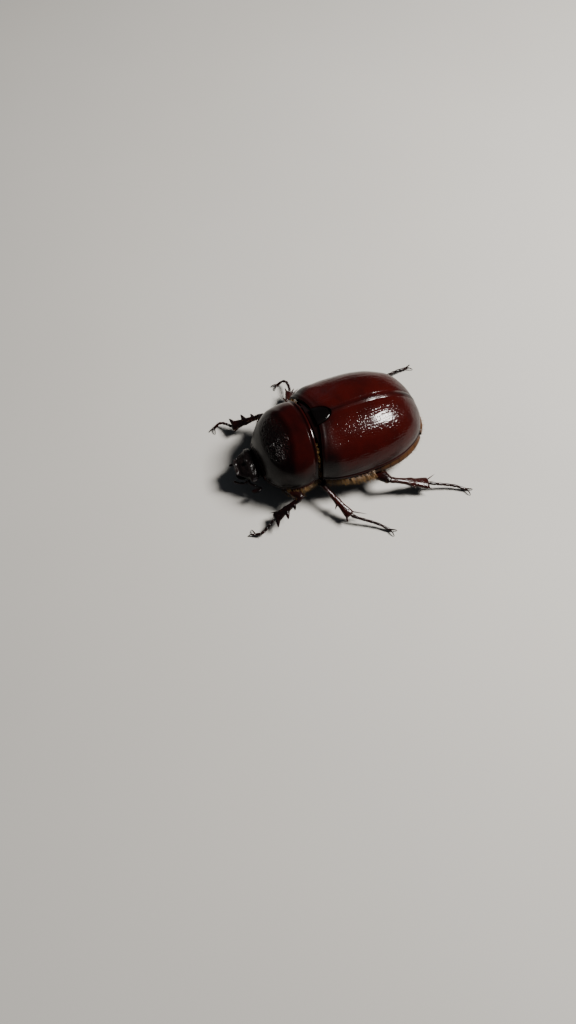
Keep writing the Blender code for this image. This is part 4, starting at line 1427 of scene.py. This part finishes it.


# painted shade: the flank hairs under the wing cases get a low pale
hairs(
    "flank_hair", "thorax_shell", count=2600, seed=301,
    wanted=lambda p, n: (np.abs(p[:, 0]) > 5.2) * (p[:, 2] < edge_height(p[:, 1]) - 0.15)
    * (p[:, 2] > 3.2) * (0.4 + ramp(edge_height(p[:, 1]) - p[:, 2], 0.0, 1.0)),
    lie=outwards_back, length=(0.55, 1.05), droop=0.45, pale=0.1,
)
# painted light: the hairs in the joint behind the shield get a high pale
hairs(
    "margin_hair", "shield_and_chest", count=900, seed=311,
    wanted=lambda p, n: (n[:, 1] > 0.5) * (p[:, 1] > -1.2) * (p[:, 2] > 6.3)
    * ramp(np.abs(p[:, 0]), 3.6, 6.0),
    lie=lambda p: as_points(p[:, 0] * 0.12, 0.3, 0.5),
    length=(0.35, 0.65), stand=0.35, width=0.028, droop=0.05, pale=0.45,
)
# painted shade: the chest hairs under the shield get a low pale
hairs(
    "chest_hair", "shield_and_chest", count=1900, seed=321,
    wanted=lambda p, n: (p[:, 1] > -6.5) * (p[:, 2] < 5.6) * (n[:, 2] < -0.05)
    * (np.abs(p[:, 0]) > 2.2),
    lie=outwards_back, length=(0.5, 0.95), droop=0.4, pale=0.1,
)
hairs(
    "throat_hair", "chin_plate", count=260, seed=331,
    wanted=lambda p, n: (n[:, 2] < 0.3) * 1.0,
    lie=lambda p: (0, -1, -0.3), length=(0.35, 0.75), stand=0.4, width=0.03,
)
hairs(
    "tail_hair", "tail_plate", count=420, seed=341,
    wanted=lambda p, n: (p[:, 2] < 5.2) * 1.0,
    lie=backwards, length=(0.35, 0.7), stand=0.35, width=0.03,
)
hairs(
    "belly_hair", "abdomen_shell", count=1500, seed=351,
    wanted=lambda p, n: (n[:, 2] < 0.2) * (p[:, 2] < edge_height(p[:, 1]) - 0.3)
    * (0.15 + sum(bell(p[:, 1] - start - 1.0, 0.35) for start in BELLY_RINGS)),
    lie=backwards, length=(0.3, 0.6), stand=0.25, width=0.028,
)
for number, leg in enumerate(LEGS):
    hip, knee, ankle = (np.array(point) for point in LEGS[leg][:3])
    thigh_line = (knee - hip) / np.linalg.norm(knee - hip)
    edge = np.cross(thigh_line, (0, 0, 1))
    edge /= np.linalg.norm(edge)
    shin_line = (ankle - knee) / np.linalg.norm(ankle - knee)
    hairs(
        f"{leg}_thigh_hair", f"{leg}_thigh", count=200, seed=400 + 10 * number,
        wanted=lambda p, n: (np.abs(n @ edge) > 0.8) * 1.0,
        lie=lambda p: thigh_line, length=(0.3, 0.6), stand=0.45, width=0.024, droop=0.1,
        pale=-0.15,
    )
    hairs(
        f"{leg}_shin_hair", f"{leg}_shin", count=90, seed=405 + 10 * number,
        wanted=lambda p, n: 0.1 + (np.abs(n @ np.array(outward(leg))) > 0.75),
        lie=lambda p: shin_line, length=(0.18, 0.4), stand=0.35, width=0.022, droop=0.05,
        pale=-0.4,
    )


# ---- Floor, light and camera ---------------------------------------------------------------
# A plain pale floor, one soft key light high behind the beetle, a weak cool fill on its right
# and a dim pale surround. The camera looks down at the beetle from its left, ahead of it.

FLOOR_SIZE = 3000.0
PAPER_DEEP = (0.215, 0.209, 0.196)
PAPER_LIT = (0.240, 0.234, 0.220)
KEY_DIRECTION = Vector((0.09, 0.62, 0.80))
KEY_DISTANCE = 320.0
KEY_SIZE = (78, 108)
KEY_POWER = 5.0
SURROUND_STRENGTH = 0.08
CAMERA_AT = Vector((65.00, -30.41, 124.66))
CAMERA_AZIMUTH = radians(67.35)
CAMERA_ELEVATION = radians(63.89)
CAMERA_ROLL = radians(0.83)
LENS = 28.0

floor_form = bmesh.new()
bmesh.ops.create_grid(floor_form, x_segments=2, y_segments=2, size=FLOOR_SIZE / 2 * MM)
floor_mesh = bpy.data.meshes.new("floor")
floor_form.to_mesh(floor_mesh)
floor_form.free()
floor = in_scene("floor", floor_mesh)
paper, nodes, links, paper_shader = new_finish("floor_paper")
paper_shader.inputs["Roughness"].default_value = 0.9
mottle = nodes.new("ShaderNodeTexNoise")
mottle.inputs["Scale"].default_value = 60.0
paper_tone = two_tones(nodes, PAPER_DEEP, PAPER_LIT)
links.new(mottle.outputs["Fac"], paper_tone.inputs["Fac"])
links.new(paper_tone.outputs["Color"], paper_shader.inputs["Base Color"])
floor_mesh.materials.append(paper)


def soft_light(name, direction, distance, size, power_watts, colour):
    """A square light that faces the beetle."""
    data = bpy.data.lights.new(name, "AREA")
    data.shape = "RECTANGLE"
    data.size = size[0] * MM
    data.size_y = size[1] * MM
    data.energy = power_watts
    data.color = colour
    lamp = in_scene(name, data)
    lamp.location = HOME + direction.normalized() * distance * MM
    lamp.rotation_euler = direction.to_track_quat("Z", "Y").to_euler()


soft_light("key_light", KEY_DIRECTION, KEY_DISTANCE, KEY_SIZE, KEY_POWER, (1.0, 0.965, 0.92))
soft_light(
    "fill_light", Vector((-0.85, 0.2, 0.5)), distance=420.0, size=(60, 260), power_watts=0.012,
    colour=(0.74, 0.86, 1.0),
)
world = bpy.data.worlds.new("studio")
world.use_nodes = True
surround = world.node_tree.nodes["Background"]
surround.inputs["Color"].default_value = (0.80, 0.87, 1.0, 1)
surround.inputs["Strength"].default_value = SURROUND_STRENGTH
bpy.context.scene.world = world

back = Vector((
    sin(CAMERA_AZIMUTH) * cos(CAMERA_ELEVATION),
    -cos(CAMERA_AZIMUTH) * cos(CAMERA_ELEVATION),
    sin(CAMERA_ELEVATION),
))
level = Vector((0, 0, 1)).cross(back).normalized()
upright = back.cross(level)
right = level * cos(CAMERA_ROLL) + upright * sin(CAMERA_ROLL)
top = upright * cos(CAMERA_ROLL) - level * sin(CAMERA_ROLL)
camera_data = bpy.data.cameras.new("camera")
camera_data.lens = LENS
camera_data.clip_start = 5 * MM
camera = in_scene("camera", camera_data)
camera.matrix_world = Matrix.Translation(HOME + CAMERA_AT * MM) @ Matrix(
    (right, top, back)
).transposed().to_4x4()
bpy.context.scene.camera = camera
